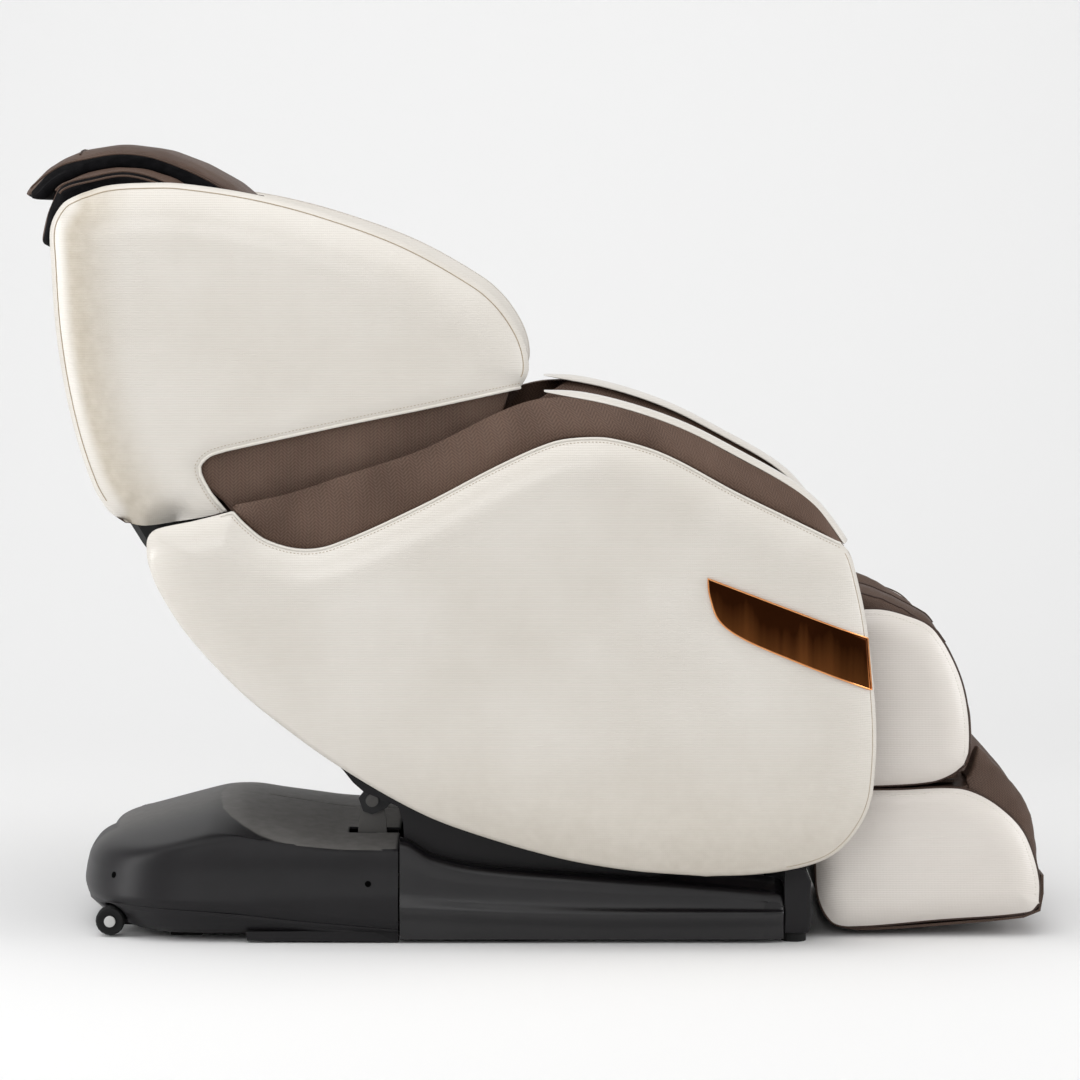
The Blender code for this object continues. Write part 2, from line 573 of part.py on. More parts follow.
def feet_and_wheels():
    """Rubber pads under the rear, round feet at the front and two transport wheels."""
    for label, side in sides_of("rear_pad"):
        low, high = span(side, BASE_HALF - 0.122, BASE_HALF - 0.082)
        block(label, (-0.562, low, 0.0), (-0.513, high, TRAY_FLOOR - GAP), RUBBER, BASE)
    for label, side in sides_of("front_foot"):
        upright_disc(label, (0.403, side * (BASE_HALF - 0.040)), 0.019, 0.0, 0.0142, RUBBER, BASE)
    for label, side in sides_of("transport_wheel"):
        low = BASE_HALF - 0.0845
        tread = [(0.0063, low), (0.0175, low), (0.0200, low), (WHEEL_RADIUS, low + 0.004),
                 (WHEEL_RADIUS, low + 0.020), (0.0200, low + 0.0245), (0.0165, low + 0.0245),
                 (0.0063, low + 0.022)]
        profile = [(r, side * y) for r, y in tread]
        home = pivot_empty(label + "_axis", (-0.654, side * (BASE_HALF - 0.072), 0.025), BASE)
        turned_ring(label, (-0.654, 0.025), profile, RUBBER, home, 20)


def power_parts():
    """Recessed power panel with a rocker switch, and the control box behind it."""
    panel = plate("power_panel", [(-0.672, 0.1173), (-0.614, 0.1173), (-0.614, 0.1452), (-0.640, 0.1452),
                                  (-0.660, 0.1225), (-0.672, 0.1205)], 0.0303, 0.1697, BLACK_PLASTIC, BASE)
    centre = (-0.6450, 0.1330)
    pocket = cross_pin("rocker_pocket", centre, 0.0083, 0.1100, 0.1304, BLACK_PLASTIC, BASE, 24)
    cut(panel, pocket)
    home = pivot_empty("power_switch_axis", (centre[0], 0.1202, centre[1]), BASE)
    low, high = math.radians(-107), math.radians(27)
    arc = [(centre[0] + 0.0080 * math.cos(low + (high - low) * k / 10),
            centre[1] + 0.0080 * math.sin(low + (high - low) * k / 10)) for k in range(11)]
    face = [(centre[0] + 0.0068 * math.cos(a), centre[1] + 0.0068 * math.sin(a))
            for a in (math.radians(60), math.radians(100))]
    face += [(centre[0] - 0.0012, centre[1] + 0.0009)]
    face += [(centre[0] + 0.0068 * math.cos(a), centre[1] + 0.0068 * math.sin(a))
             for a in (math.radians(182), math.radians(222))]
    plate("power_switch", arc + face, 0.1103, 0.1301, GLOSS_BLACK, home)
    block("control_box", (-0.455, -0.140, TRAY_FLOOR + 0.0038), (-0.350, 0.140, 0.0850), BLACK_PLASTIC, BASE)


# ---------------------------------------------------------------- slide carriage
def slide_carriage():
    """Carriage on the rails: runners, cross tubes, pivot uprights and front rest posts."""
    low, top = 0.0663, 0.0850
    carriage = block("slide_carriage", (-0.300, -0.182, low), (0.240, -0.158, top), STEEL, CARRIAGE)
    members = [block("runner", (-0.300, 0.158, low), (0.240, 0.182, top), STEEL, CARRIAGE)]
    for x in (-0.300, -0.020, 0.214):
        members.append(block("tie", (x, -0.165, low + 0.001), (x + 0.022, 0.165, top - 0.001), STEEL, CARRIAGE))
    x, z = TILT_PIVOT
    for side in (-1, 1):
        upright = [(x - 0.030, 0.080), (x + 0.030, 0.080), (x + 0.017, z + 0.006), (x + 0.009, z + 0.015),
                   (x - 0.009, z + 0.015), (x - 0.017, z + 0.006)]
        members.append(plate("upright", upright, *span(side, 0.170, 0.1800), STEEL, CARRIAGE))
        members.append(cross_pin("tilt_pin", TILT_PIVOT, PIN_RADIUS, *span(side, 0.175, 0.1935),
                                 STEEL, CARRIAGE))
        members.append(block("rest_post", (0.212, span(side, 0.160, 0.180)[0], 0.080),
                             (0.232, span(side, 0.160, 0.180)[1], 0.3447), STEEL, CARRIAGE))
    return weld(carriage, *members)


# ---------------------------------------------------------------- seat
def drilled(name, outline, low, high, centre, radius, material, home):
    """Plate with a bore for a pin."""
    bore = cross_pin(name + "_bore", centre, radius, low - 0.01, high + 0.01, material, home, 16)
    return cut(plate(name, outline, low, high, material, home), bore)


def seat_frame():
    """Seat frame: side rails, cross tubes and the bored ears of the three pivots."""
    frame = block("seat_frame", (-0.135, -0.230, 0.340), (0.360, -0.206, 0.380), STEEL, SEAT)
    members = [block("side_rail", (-0.135, 0.206, 0.340), (0.360, 0.230, 0.380), STEEL, SEAT)]
    for x in (-0.100, 0.207, 0.318):
        half = ARM_INNER - 0.0003 if x > -0.05 else 0.215
        members.append(block("seat_cross", (x, -half, 0.345), (x + 0.030, half, 0.372), STEEL, SEAT))
    x, z = TILT_PIVOT
    tilt_ear = [(-0.135, 0.375), (-0.160, 0.345), (x - 0.021, z + 0.004), (x - 0.014, z - 0.017),
                (x, z - 0.022), (x + 0.022, z - 0.012), (-0.090, 0.345), (-0.080, 0.375)]
    rx, rz = RECLINE_PIVOT
    back_ear = [(-0.136, 0.345), (-0.085, 0.345), (-0.105, 0.379), (rx + 0.024, rz + 0.006),
                (rx + 0.013, rz + 0.021), (rx - 0.005, rz + 0.024), (rx - 0.021, rz + 0.013),
                (rx - 0.024, rz - 0.006), (rx - 0.013, rz - 0.024)]
    lx, lz = LIFT_PIVOT
    leg_ear = [(0.330, 0.343), (0.402, 0.343), (0.426, 0.370), (lx + 0.023, lz - 0.010), (lx + 0.024, lz + 0.006),
               (lx + 0.010, lz + 0.022), (lx - 0.010, lz + 0.022), (lx - 0.023, lz + 0.008), (0.390, 0.3797),
               (0.330, 0.3797)]
    bore = PIN_RADIUS + BORE_SLACK
    for side in (-1, 1):
        low, high = span(side, 0.1805, 0.1905)
        members.append(drilled("tilt_ear", tilt_ear, low, high, TILT_PIVOT, bore, STEEL, SEAT))
        low, high = span(side, 0.2220, 0.2320)
        members.append(drilled("back_ear", back_ear, low, high, RECLINE_PIVOT, bore, STEEL, SEAT))
        members.append(drilled("leg_ear", leg_ear, low, high, LIFT_PIVOT, bore, STEEL, SEAT))
        low, high = span(side, 0.1805, 0.2100)
        members.append(block("ear_tie", (-0.125, low, 0.3470), (-0.095, high, 0.3740), STEEL, SEAT))
    return weld(frame, *members)


def seat_skirt():
    """Black skirt under the seat: two cheeks and a front wall."""
    cheek = [(-0.305, 0.3447), (-0.308, 0.280), (-0.291, 0.262), (-0.276, 0.243), (-0.259, 0.228),
             (-0.239, 0.220), (-0.207, 0.206), (-0.199, 0.180), (-0.195, 0.098), (0.200, 0.092), (0.236, 0.128),
             (0.374, 0.128), (0.374, 0.3447)]
    skirt = plate("seat_skirt", cheek, -0.2617, -0.2560, BLACK_PLASTIC, SEAT)
    other = plate("skirt_cheek", cheek, 0.2560, 0.2617, BLACK_PLASTIC, SEAT)
    front = block("skirt_front", (0.3680, -0.2600, 0.1280), (0.3740, 0.2600, 0.3396), BLACK_PLASTIC, SEAT)
    return weld(skirt, other, front)


def seat_cushion():
    """Crowned seat cushion with a rolled front."""
    top = smooth_path(CUSHION_TOP, 14)
    bottom = evenly([(-0.097, 0.3803), (0.382, 0.3803)], 14)
    pad_between("seat_cushion", top, bottom, CUSHION_HALF,
                lambda s: 1.0 - 0.30 * max(s - 0.55, 0.0) ** 2 / 0.2025, [0.0, 0.55, 0.75, 0.90, 1.0], BROWN, SEAT)


ACROSS = [0.0, 0.05, 0.12, 0.24, 0.50, 0.78, 0.91, 1.0]


def arm_width():
    """Half width over the arm shell, rolled in at its edges."""
    below = evenly(ARM_BOTTOM + ARM_FRONT[1:], 60)
    above = evenly(ARM_REAR_TOP + ARM_BAND_EDGE[1:], 60)
    roll = ARM_RIM - ARM_CROWN
    return crown(ARM_CROWN, [(below, roll - 0.003, 0.085), (above, roll + 0.002, 0.060)])


def arm_shells():
    """Crowned outer arm shells."""
    upper = join_paths(smooth_path(ARM_REAR_TOP, 4), smooth_path(ARM_BAND_EDGE, 20))
    lower = join_paths(smooth_path(ARM_BOTTOM, 14), smooth_path(ARM_FRONT, 10))
    for label, side in sides_of("arm_shell"):
        crowned_shell(label, upper, lower, ACROSS, arm_width(), ARM_WALL, side, IVORY, SEAT)


TOP_SPANS = 13


def arm_bands():
    """Brown bands tucked behind the arm shells' upper edge."""
    crease = join_paths(smooth_path(ARM_CREASE, 11), smooth_path(ARM_TOP_LINE, TOP_SPANS))
    tuck = [Vector((p.x, p.y - 0.006)) for p in smooth_path(ARM_BAND_EDGE, 11 + TOP_SPANS)]
    shell = arm_width()
    tuck[0] = Vector(crease[0])
    tuck[-1] = Vector(crease[-1])

    def width(point, share):
        top = 0.3525 if point.x < -0.10 else max(0.3525 - 0.0175 * (point.x + 0.10) / 0.12, 0.335)
        foot = min(ARM_RIM + 0.002 - ARM_WALL - 0.0004, shell(point, share) - ARM_WALL - 0.0022)
        return foot + (top - foot) * share ** 1.5

    for label, side in sides_of("arm_band"):
        crowned_shell(label, crease, tuck, [0.0, 0.33, 0.67, 1.0], width, BAND_WALL, side, BROWN, SEAT)


def arm_tops():
    """Ivory cap strips along the arms, crowned across."""
    line = smooth_path(ARM_TOP_LINE, TOP_SPANS)
    across = [(0.3348, 0.0025), (0.329, 0.0075), (0.316, 0.0110), (0.293, 0.0105), (0.2752, 0.003)]
    for label, side in sides_of("arm_top"):
        outer, inner = [], []
        for i, p in enumerate(line):
            ahead = (line[min(i + 1, TOP_SPANS)] - line[max(i - 1, 0)]).normalized()
            up = Vector((-ahead.y, ahead.x))
            outer.append([(p.x + up.x * h, side * y, p.y + up.y * h) for y, h in across])
            inner.append([(p.x + up.x * GAP, side * y, p.y + up.y * GAP) for y, h in across])
        grid_solid(label, outer, inner, IVORY, SEAT)


def arm_linings():
    """Inner arm linings whose edges run out to the arm shells."""
    roof = offset_path(smooth_path(ARM_TOP_LINE, TOP_SPANS), -0.0001)
    upper = join_paths(smooth_path(LINING_REAR, 4), [Vector(LINING_REAR[-1])] + roof[1:])
    rear = [(-0.110, 0.735), (-0.112, 0.520), (-0.110, 0.330), (-0.108, 0.225), (-0.085, 0.180)]
    below = [(-0.085, 0.180)] + [p for p in ARM_BOTTOM if p[0] > 0.0]
    lower = join_paths(smooth_path(rear, 4), smooth_path(below, 5), smooth_path(ARM_FRONT[:-1], TOP_SPANS - 5))
    lower[-1] = Vector(upper[-1])
    edge = evenly(below + ARM_FRONT[1:-1], 50)
    flat = ARM_INNER + LINING_WALL
    width = crown(flat, [(edge, ARM_RIM - 0.003 - ARM_WALL - GAP - flat, 0.050), (evenly(rear, 20), 0.340 - flat, 0.040),
                         (roof, 0.016, 0.022)])
    for label, side in sides_of("arm_lining"):
        crowned_shell(label, upper, lower, [0.0, 0.05, 0.12, 0.50, 0.88, 0.955, 1.0], width, LINING_WALL,
                      side, BROWN, SEAT)


def badges():
    """Bare curved name plates on the arm shells' front corners."""
    width = arm_width()
    lift = 0.0030
    top, bottom = evenly(BADGE_TOP, 14), smooth_path(BADGE_BOTTOM, 14)
    bottom[-1] = Vector((0.5135, 0.400))
    for label, side in sides_of("badge"):
        crowned_shell(label, top, bottom, [0.0, 0.25, 0.5, 0.75, 1.0],
                      lambda p, t: width(p, t) + lift, 0.0022, side, COPPER_BROWN, SEAT)


def control_strip():
    """Glossy control strip with one sprung key, on the inner face of the left arm."""
    outline = [(0.121, 0.8000), (0.278, 0.7420), (0.278, 0.7120), (0.121, 0.7700)]
    panel = plate("control_panel", outline, 0.2617, ARM_INNER - GAP, GLOSS_BLACK, SEAT)
    centre = (0.150, 0.7735)
    cut(panel, cross_pin("key_pocket", centre, 0.0063, 0.2500, 0.2688, GLOSS_BLACK, SEAT, 20))
    home = pivot_empty("control_key_origin", (centre[0], 0.2630, centre[1]), SEAT)
    cross_pin("control_key", centre, 0.0058, 0.2598, 0.2672, GREY_PLASTIC, home, 20)


def seat_actuators():
    """Leg lifter and recliner drives hung under the seat's cross tubes."""
    for name, x0, x1, hang, y in (("leg_actuator", 0.100, 0.362, 0.222, 0.060),
                                  ("recline_actuator", -0.150, 0.060, -0.085, -0.060)):
        body = block(name, (x0, y - 0.020, 0.285), (x1 - 0.080, y + 0.020, 0.330), GREY_PLASTIC, SEAT)
        rod = block(name + "_rod", (x1 - 0.090, y - 0.008, 0.299), (x1, y + 0.008, 0.315), BRIGHT_STEEL, SEAT)
        lug = block(name + "_lug", (hang - 0.008, y - 0.010, 0.325), (hang + 0.008, y + 0.010, 0.3447), STEEL, SEAT)
        weld(body, rod, lug)


# ---------------------------------------------------------------- backrest
PAD_SPANS = 23
BACK_COVER_SPANS = 17


def back_frame():
    """Back frame: side plates with pivot pins, cross tubes and two massage guide rails."""
    frame = None
    members = []
    for side in (-1, 1):
        outline = [(-0.170, 0.432), (-0.192, 0.448), (-0.214, 0.440), (-0.320, 0.418), (-0.372, 0.450),
                   (-0.470, 0.640), (-0.560, 0.800), (-0.640, 0.950), (-0.668, 1.070), (-0.640, 1.085),
                   (-0.615, 1.075), (-0.560, 0.950), (-0.460, 0.780), (-0.360, 0.610), (-0.290, 0.485),
                   (-0.205, 0.474), (-0.178, 0.478), (-0.152, 0.470), (-0.147, 0.450)]
        low, high = span(side, 0.2115, 0.2215)
        cheek = plate("back_frame" if side < 0 else "back_cheek", outline, low, high, STEEL, BACK)
        pin = cross_pin("recline_pin", RECLINE_PIVOT, PIN_RADIUS, *span(side, 0.2130, 0.2350), STEEL, BACK)
        members.append(pin)
        if side < 0:
            frame = cheek
        else:
            members.append(cheek)
        low, high = span(side, 0.105, 0.120)
        rail = [back_point(0.068, -0.155), back_point(0.645, -0.155), back_point(0.645, -0.130),
                back_point(0.068, -0.130)]
        members.append(plate("guide_rail", rail, low, high, BRIGHT_STEEL, BACK))
    for up in (0.070, 0.618):
        tube = [back_point(up, -0.153), back_point(up + 0.024, -0.153), back_point(up + 0.024, -0.132),
                back_point(up, -0.132)]
        members.append(plate("back_cross", tube, 0.0004 - PAD_HALF, PAD_HALF - 0.0004, STEEL, BACK))
    members.append(block("head_cross", (-0.655, 0.0004 - PAD_HALF, 1.040), (-0.630, PAD_HALF - 0.0004, 1.065),
                         STEEL, BACK))
    return weld(frame, *members)


def back_cover():
    """Rear cover: a channel with its sides running forward to the cushion."""
    front = offset_path(smooth_path(PAD_INNER, PAD_SPANS), 0.0008)[:BACK_COVER_SPANS + 1]
    rear = smooth_path(COVER_REAR + [(-0.7155, 1.096), (-0.6970, 1.120)], BACK_COVER_SPANS)
    wide = PAD_HALF + 0.004
    across = [(0.0, wide), (0.45, wide), (0.86, wide), (0.96, wide - 0.007), (1.0, wide - 0.027), (1.0, 0.080)]
    inside = [(0.0, PAD_HALF), (0.45, PAD_HALF), (0.83, PAD_HALF), (0.925, wide - 0.0105), (0.965, wide - 0.030),
              (0.965, 0.080)]
    outer, inner = [], []
    for f, r in zip(front, rear):
        for grid, corners in ((outer, across), (inner, inside)):
            whole = [(s, -y) for s, y in corners] + [(s, y) for s, y in reversed(corners)]
            grid.append([(f.lerp(r, s).x, y, f.lerp(r, s).y) for s, y in whole])
    grid_solid("back_cover", outer, inner, BLACK_PLASTIC, BACK)


def back_pad():
    """Back cushion that wraps over the top of the frame."""
    outer = smooth_path(PAD_OUTER, PAD_SPANS)
    inner = smooth_path(PAD_INNER, PAD_SPANS)
    pad_between("back_pad", outer, inner, PAD_HALF, lambda s: 1.0 - 0.40 * max(s - 0.80, 0.0) ** 2 / 0.04,
                [0.0, 0.40, 0.80, 0.90, 1.0], BROWN, BACK)


def headrest_pillow():
    """Head pillow lying over the cushion's top, hinged at its rear end."""
    lifted = offset_path(smooth_path(PAD_OUTER, PAD_SPANS), -0.0010)
    inner = [p for p in lifted if p.y > 0.955 and not (p.x < -0.744 and p.y < 1.150)]
    inner.append(Vector((-0.7520, 1.1360)))
    outer = smooth_path(PILLOW_OUTER, len(inner) - 1)
    pad_between("headrest_pillow", outer, inner, PILLOW_HALF,
                lambda s: 1.0 - 0.55 * max(s - 0.45, 0.0) ** 2.5 / 0.224, [0.0, 0.45, 0.70, 0.88, 1.0],
                BROWN, PILLOW)


def wings():
    """Wing panels, their inner linings and the recessed skirts between them and the arms."""
    upper = join_paths(smooth_path(WING_REAR, 9), smooth_path(WING_TOP, 18))
    lower = join_paths(smooth_path(WING_TONGUE, 5), smooth_path(WING_NOTCH, 5), smooth_path(WING_LOW_EDGE, 17))
    rim = evenly(WING_REAR + WING_TOP[1:], 60)
    tongue = evenly([(-0.618, 0.649), (-0.588, 0.644), (-0.540, 0.650)], 8)
    low = evenly(WING_NOTCH + WING_LOW_EDGE[1:], 40)
    roll = WING_RIM - WING_CROWN
    width = crown(WING_CROWN, [(rim, roll, 0.085), (tongue, roll, 0.060), (low, WING_LOW_RIM - WING_CROWN, 0.030)])
    skirt_top = smooth_path([(-0.512, 0.715), (-0.506, 0.748), (-0.470, 0.773), (-0.381, 0.789), (-0.165, 0.834),
                             (-0.071, 0.853), (-0.034, 0.852)], 20)
    hem = [(-0.512, 0.715), (-0.488, 0.698), (-0.466, 0.682), (-0.446, 0.656), (-0.361, 0.666),
           (-0.269, 0.696), (-0.160, 0.735), (-0.062, 0.785), (-0.034, 0.852)]
    skirt_low = smooth_path(hem, 20)
    flat = WING_INNER + LINING_WALL
    hem_edge = evenly([(-0.486, 0.664), (-0.446, 0.656), (-0.361, 0.666), (-0.269, 0.696), (-0.160, 0.735),
                       (-0.090, 0.771)], 30)
    lining_low = join_paths(smooth_path(WING_TONGUE[:3], 4), smooth_path(
        [(-0.504, 0.658), (-0.446, 0.656), (-0.361, 0.666), (-0.269, 0.696), (-0.160, 0.735), (-0.062, 0.785),
         (-0.019, 0.852)], 15))
    lining_high = join_paths(smooth_path(WING_REAR, 7), smooth_path(WING_TOP, 12))
    lining = crown(flat, [(rim, 0.3015 - flat, 0.050), (tongue, 0.3015 - flat, 0.050),
                          (hem_edge, 0.3205 - flat, 0.045)])
    for label, side in sides_of("wing_panel"):
        crowned_shell(label, upper, lower, ACROSS, width, WING_WALL, side, IVORY, BACK)
    for label, side in sides_of("wing_lining"):
        crowned_shell(label, lining_high, lining_low, [0.0, 0.05, 0.13, 0.87, 0.95, 1.0], lining,
                      LINING_WALL, side, BROWN, BACK)
    for label, side in sides_of("wing_skirt"):
        crowned_shell(label, skirt_top, skirt_low, [0.0, 0.5, 1.0],
                      lambda p, t: min(WING_LOW_RIM - 0.0103, width(p, t) - WING_WALL - 0.0035), SKIRT_WALL, side,
                      BROWN, BACK)


def massage_unit():
    """Massage carriage between the guide rails, two rocking arms and four rollers."""
    home = pivot_empty("massage_travel_origin", (*back_point(0.160, -0.115), 0.0), BACK)
    x, z = back_point(0.160, -0.115)
    home["place"] = (x, 0.0, z)
    home.location = Vector((x, 0.0, z)) - Vector(BACK["place"])

    def local(up, forward):
        return back_point(0.160 + up, -0.115 + forward)

    box = plate("massage_carriage", [local(-0.050, -0.055), local(0.050, -0.055), local(0.050, -0.020),
                                     local(-0.050, -0.020)], -0.1047, 0.1047, GREY_PLASTIC, home)
    nose = plate("carriage_nose", [local(-0.022, -0.025), local(0.022, -0.025), local(0.012, 0.012),
                                   local(-0.012, 0.012)], -0.040, 0.040, GREY_PLASTIC, home)
    pin = cross_pin("rocker_pin", (x, z), 0.008, -0.0560, 0.0560, BRIGHT_STEEL, home)
    weld(box, nose, pin)
    for label, side in sides_of("roller_arm"):
        axis = pivot_empty(label + "_axis", (x, side * 0.0465, z), home)
        outline = [local(-0.012, -0.010), local(0.012, -0.010), local(0.064, 0.028), local(0.066, 0.040),
                   local(0.056, 0.046), local(0.010, 0.014), local(-0.010, 0.014), local(-0.056, 0.046),
                   local(-0.066, 0.040), local(-0.064, 0.028)]
        low, high = span(side, 0.0405, 0.0525)
        arm = drilled(label, outline, low, high, (x, z), 0.0083, GREY_PLASTIC, axis)
        for tag, up in (("lower", -0.056), ("upper", 0.056)):
            spot = local(up, 0.036)
            low, high = span(side, 0.0480, 0.0850)
            weld(arm, cross_pin(label + tag + "_stub", spot, 0.0060, low, high, BRIGHT_STEEL, axis, 14))
            name = "massage_roller_" + tag + label[len("roller_arm"):]
            wheel = pivot_empty(name + "_axis", (spot[0], side * 0.0690, spot[1]), axis)
            tread = [(0.0063, 0.0560), (0.0180, 0.0560), (ROLLER_RADIUS, 0.0620), (ROLLER_RADIUS, 0.0760),
                     (0.0180, 0.0820), (0.0063, 0.0820)]
            turned_ring(name, spot, [(r, side * y) for r, y in tread], NYLON, wheel, 16)


# ---------------------------------------------------------------- leg rest
LEG_ACROSS = [0.0, 0.08, 0.20, 0.80, 0.92, 1.0]
WELL_SPOTS = [0.0, 0.09, 0.20, 0.35, 0.62, 0.78, 0.91, 1.0]


def leg_side(label, high, low, spans):
    """Crowned ivory side panels of one leg section."""
    upper, lower = smooth_path(high, spans), smooth_path(low, spans)
    rim = evenly(high + list(reversed(low))[1:], 50)
    width = crown(SIDE_CROWN, [(rim, SIDE_RIM - SIDE_CROWN, 0.045)])
    home = CALF if label.startswith("calf") else FOOT
    for name, side in sides_of(label):
        crowned_shell(name, upper, lower, LEG_ACROSS, width, SIDE_WALL, side, IVORY, home)


def well_crest(depth):
    """Two leg wells: full at the sides and the middle ridge, hollow between."""
    def crest(spot):
        return 1.0 - depth * (0.5 - 0.5 * math.cos(2 * math.pi * min(max((spot - 0.05) / 0.88, 0.0), 1.0)))
    return crest


def calf_section():
    """Calf section: frame, casing, side panels and padded wells."""
    leg_side("calf_side", CALF_TOP, CALF_LOW, 16)
    casing = folded_sheet("calf_shell", smooth_path(CALF_CASING, 14), 0.004, CASING_HALF, BROWN, CALF)
    for side in (-1, 1):
        cut(casing, upright_disc("rod_hole", (0.4690, side * 0.100), 0.0115, 0.222, 0.255, BROWN, CALF, 16))
    face, back = smooth_path(CALF_CREST, 12), smooth_path(CALF_BACK, 12)
    pad_between("calf_pad", face, back, WELL_HALF, well_crest(0.72), WELL_SPOTS, BROWN, CALF)
    lx, lz = LIFT_PIVOT
    frame = None
    members = []
    for side in (-1, 1):
        outline = [(lx - 0.018, lz - 0.010), (lx - 0.006, lz - 0.020), (0.445, 0.445), (0.450, 0.275),
                   (0.480, 0.275), (0.480, 0.460), (lx + 0.018, lz + 0.012), (lx + 0.002, lz + 0.020),
                   (lx - 0.016, lz + 0.012)]
        low, high = span(side, 0.2115, 0.2215)
        cheek = plate("calf_frame" if side < 0 else "calf_cheek", outline, low, high, STEEL, CALF)
        if side < 0:
            frame = cheek
        else:
            members.append(cheek)
        members.append(cross_pin("lift_pin", LIFT_PIVOT, PIN_RADIUS, *span(side, 0.2130, 0.2350), STEEL, CALF))
        low, high = span(side, 0.2200, 0.2507)
        members.append(block("side_boss", (0.470, low, 0.330), (0.500, high, 0.380), STEEL, CALF))
        sleeve = turned_sleeve("rod_sleeve", side)
        members.append(sleeve)
    for z in (0.290, 0.425):
        members.append(block("calf_cross", (0.4790, -0.220, z), (0.5045, 0.220, z + 0.025), STEEL, CALF))
        members.append(block("calf_web", (0.4520, -0.220, z), (0.4560, 0.220, z + 0.025), STEEL, CALF))
    return weld(frame, *members)


def turned_sleeve(name, side):
    """Upright square sleeve with a round bore that a foot rod slides in."""
    low, high = span(side, 0.086, 0.114)
    sleeve = block(name, (0.4550, low, 0.270), (0.4830, high, 0.452), STEEL, CALF)
    bore = upright_disc(name + "_bore", (0.4690, side * 0.100), 0.0093, 0.200, 0.480, STEEL, CALF, 16)
    return cut(sleeve, bore)


def foot_section():
    """Foot section: slide rods and crossbar, casing, side panels and padded wells."""
    leg_side("foot_side", FOOT_TOP, FOOT_LOW, 16)
    folded_sheet("foot_shell", smooth_path(FOOT_CASING, 20), -0.004, WELL_HALF, BROWN, FOOT)
    face, back = smooth_path(FOOT_CREST, 12), smooth_path(FOOT_BACK, 12)
    pad_between("foot_pad", face, back, WELL_HALF, well_crest(0.70), WELL_SPOTS, BROWN, FOOT)
    frame = block("foot_frame", (0.4533, -WELL_HALF - 0.0002, 0.1400), (0.4820, WELL_HALF + 0.0002, 0.1660),
                  STEEL, FOOT)
    members = []
    for side in (-1, 1):
        members.append(upright_disc("slide_rod", (0.4690, side * 0.100), 0.0090, 0.1500, 0.4480,
                                    BRIGHT_STEEL, FOOT, 16))
        low, high = span(side, 0.040, 0.080)
        members.append(block("pad_arm", (0.4700, low, 0.1420), (0.5448, high, 0.1640), STEEL, FOOT))
    return weld(frame, *members)


# ---------------------------------------------------------------- build
rear_base_cover()
rear_tray()
base_frame()
side_covers()
front_foot_block()
feet_and_wheels()
power_parts()
slide_carriage()
seat_frame()
seat_skirt()
seat_cushion()
arm_shells()
arm_bands()
arm_tops()
arm_linings()
badges()
control_strip()
seat_actuators()
back_frame()
back_cover()
back_pad()
headrest_pillow()
wings()
massage_unit()
calf_section()
foot_section()
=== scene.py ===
"""Massage chair: the looks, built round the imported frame, from the floor up."""
import json
import math

import bmesh
import bpy
import numpy as np
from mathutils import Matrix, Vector

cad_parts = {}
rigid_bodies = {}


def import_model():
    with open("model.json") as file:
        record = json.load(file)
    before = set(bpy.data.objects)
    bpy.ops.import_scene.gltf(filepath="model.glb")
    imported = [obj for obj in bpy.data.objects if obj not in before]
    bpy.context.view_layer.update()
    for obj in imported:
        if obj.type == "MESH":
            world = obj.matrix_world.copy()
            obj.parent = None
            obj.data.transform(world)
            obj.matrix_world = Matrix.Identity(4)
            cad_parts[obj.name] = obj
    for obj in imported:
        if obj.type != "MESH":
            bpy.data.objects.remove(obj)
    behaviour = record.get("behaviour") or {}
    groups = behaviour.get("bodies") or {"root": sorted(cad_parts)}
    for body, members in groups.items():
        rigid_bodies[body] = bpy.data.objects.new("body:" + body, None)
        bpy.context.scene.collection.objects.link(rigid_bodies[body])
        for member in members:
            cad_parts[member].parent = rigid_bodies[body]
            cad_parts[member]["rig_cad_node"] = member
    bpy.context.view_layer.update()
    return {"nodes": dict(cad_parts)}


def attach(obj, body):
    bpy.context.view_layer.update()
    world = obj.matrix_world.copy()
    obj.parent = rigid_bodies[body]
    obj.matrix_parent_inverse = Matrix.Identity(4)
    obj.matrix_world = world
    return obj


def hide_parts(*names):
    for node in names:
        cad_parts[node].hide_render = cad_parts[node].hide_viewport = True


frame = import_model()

nodes = frame["nodes"]
scene = bpy.context.scene
both_sides = (("right", -1.0), ("left", 1.0))

# ------------------------------------------------------------------ camera, floor and studio lights
# A side view from 6.4 m with a long lens, a little above the seat. The floor is a pale sweep that curves up
# behind the chair. Large soft boxes light it from overhead, from the front and from both ends, and one more
# lights the sweep itself.
camera_pitch = 4.66     # degrees below level
bpy.ops.object.camera_add(location=(0.01175, -6.3702, 1.1160),
                          rotation=(math.radians(90.0 - camera_pitch), 0.0, 0.0))
camera = bpy.context.object
camera.data.sensor_width = 36.0
camera.data.lens = 133.3
scene.camera = camera
scene.view_settings.view_transform = "Standard"


def set_all(thing, **values):
    """Set several properties of one thing."""
    for key, value in values.items():
        setattr(thing, key, value)


def deselect():
    """Leave edit mode with nothing selected."""
    if bpy.context.mode != "OBJECT":
        bpy.ops.object.mode_set(mode="OBJECT")
    bpy.ops.object.select_all(action="DESELECT")


def take(piece):
    """Make a piece the only selected and active one."""
    deselect()
    piece.select_set(True)
    bpy.context.view_layer.objects.active = piece


def apply_all(piece):
    """Apply every modifier of a piece."""
    take(piece)
    for change in list(piece.modifiers):
        bpy.ops.object.modifier_apply(modifier=change.name)


def modify(piece, kind, **settings):
    """Add a modifier with its settings and apply it."""
    set_all(piece.modifiers.new(kind.lower(), kind), **settings)
    apply_all(piece)


def set_inputs(made, **values):
    """Set a shader node's inputs; an underscore in a name stands for a space."""
    for key, value in values.items():
        made.inputs[key.replace("_", " ")].default_value = value


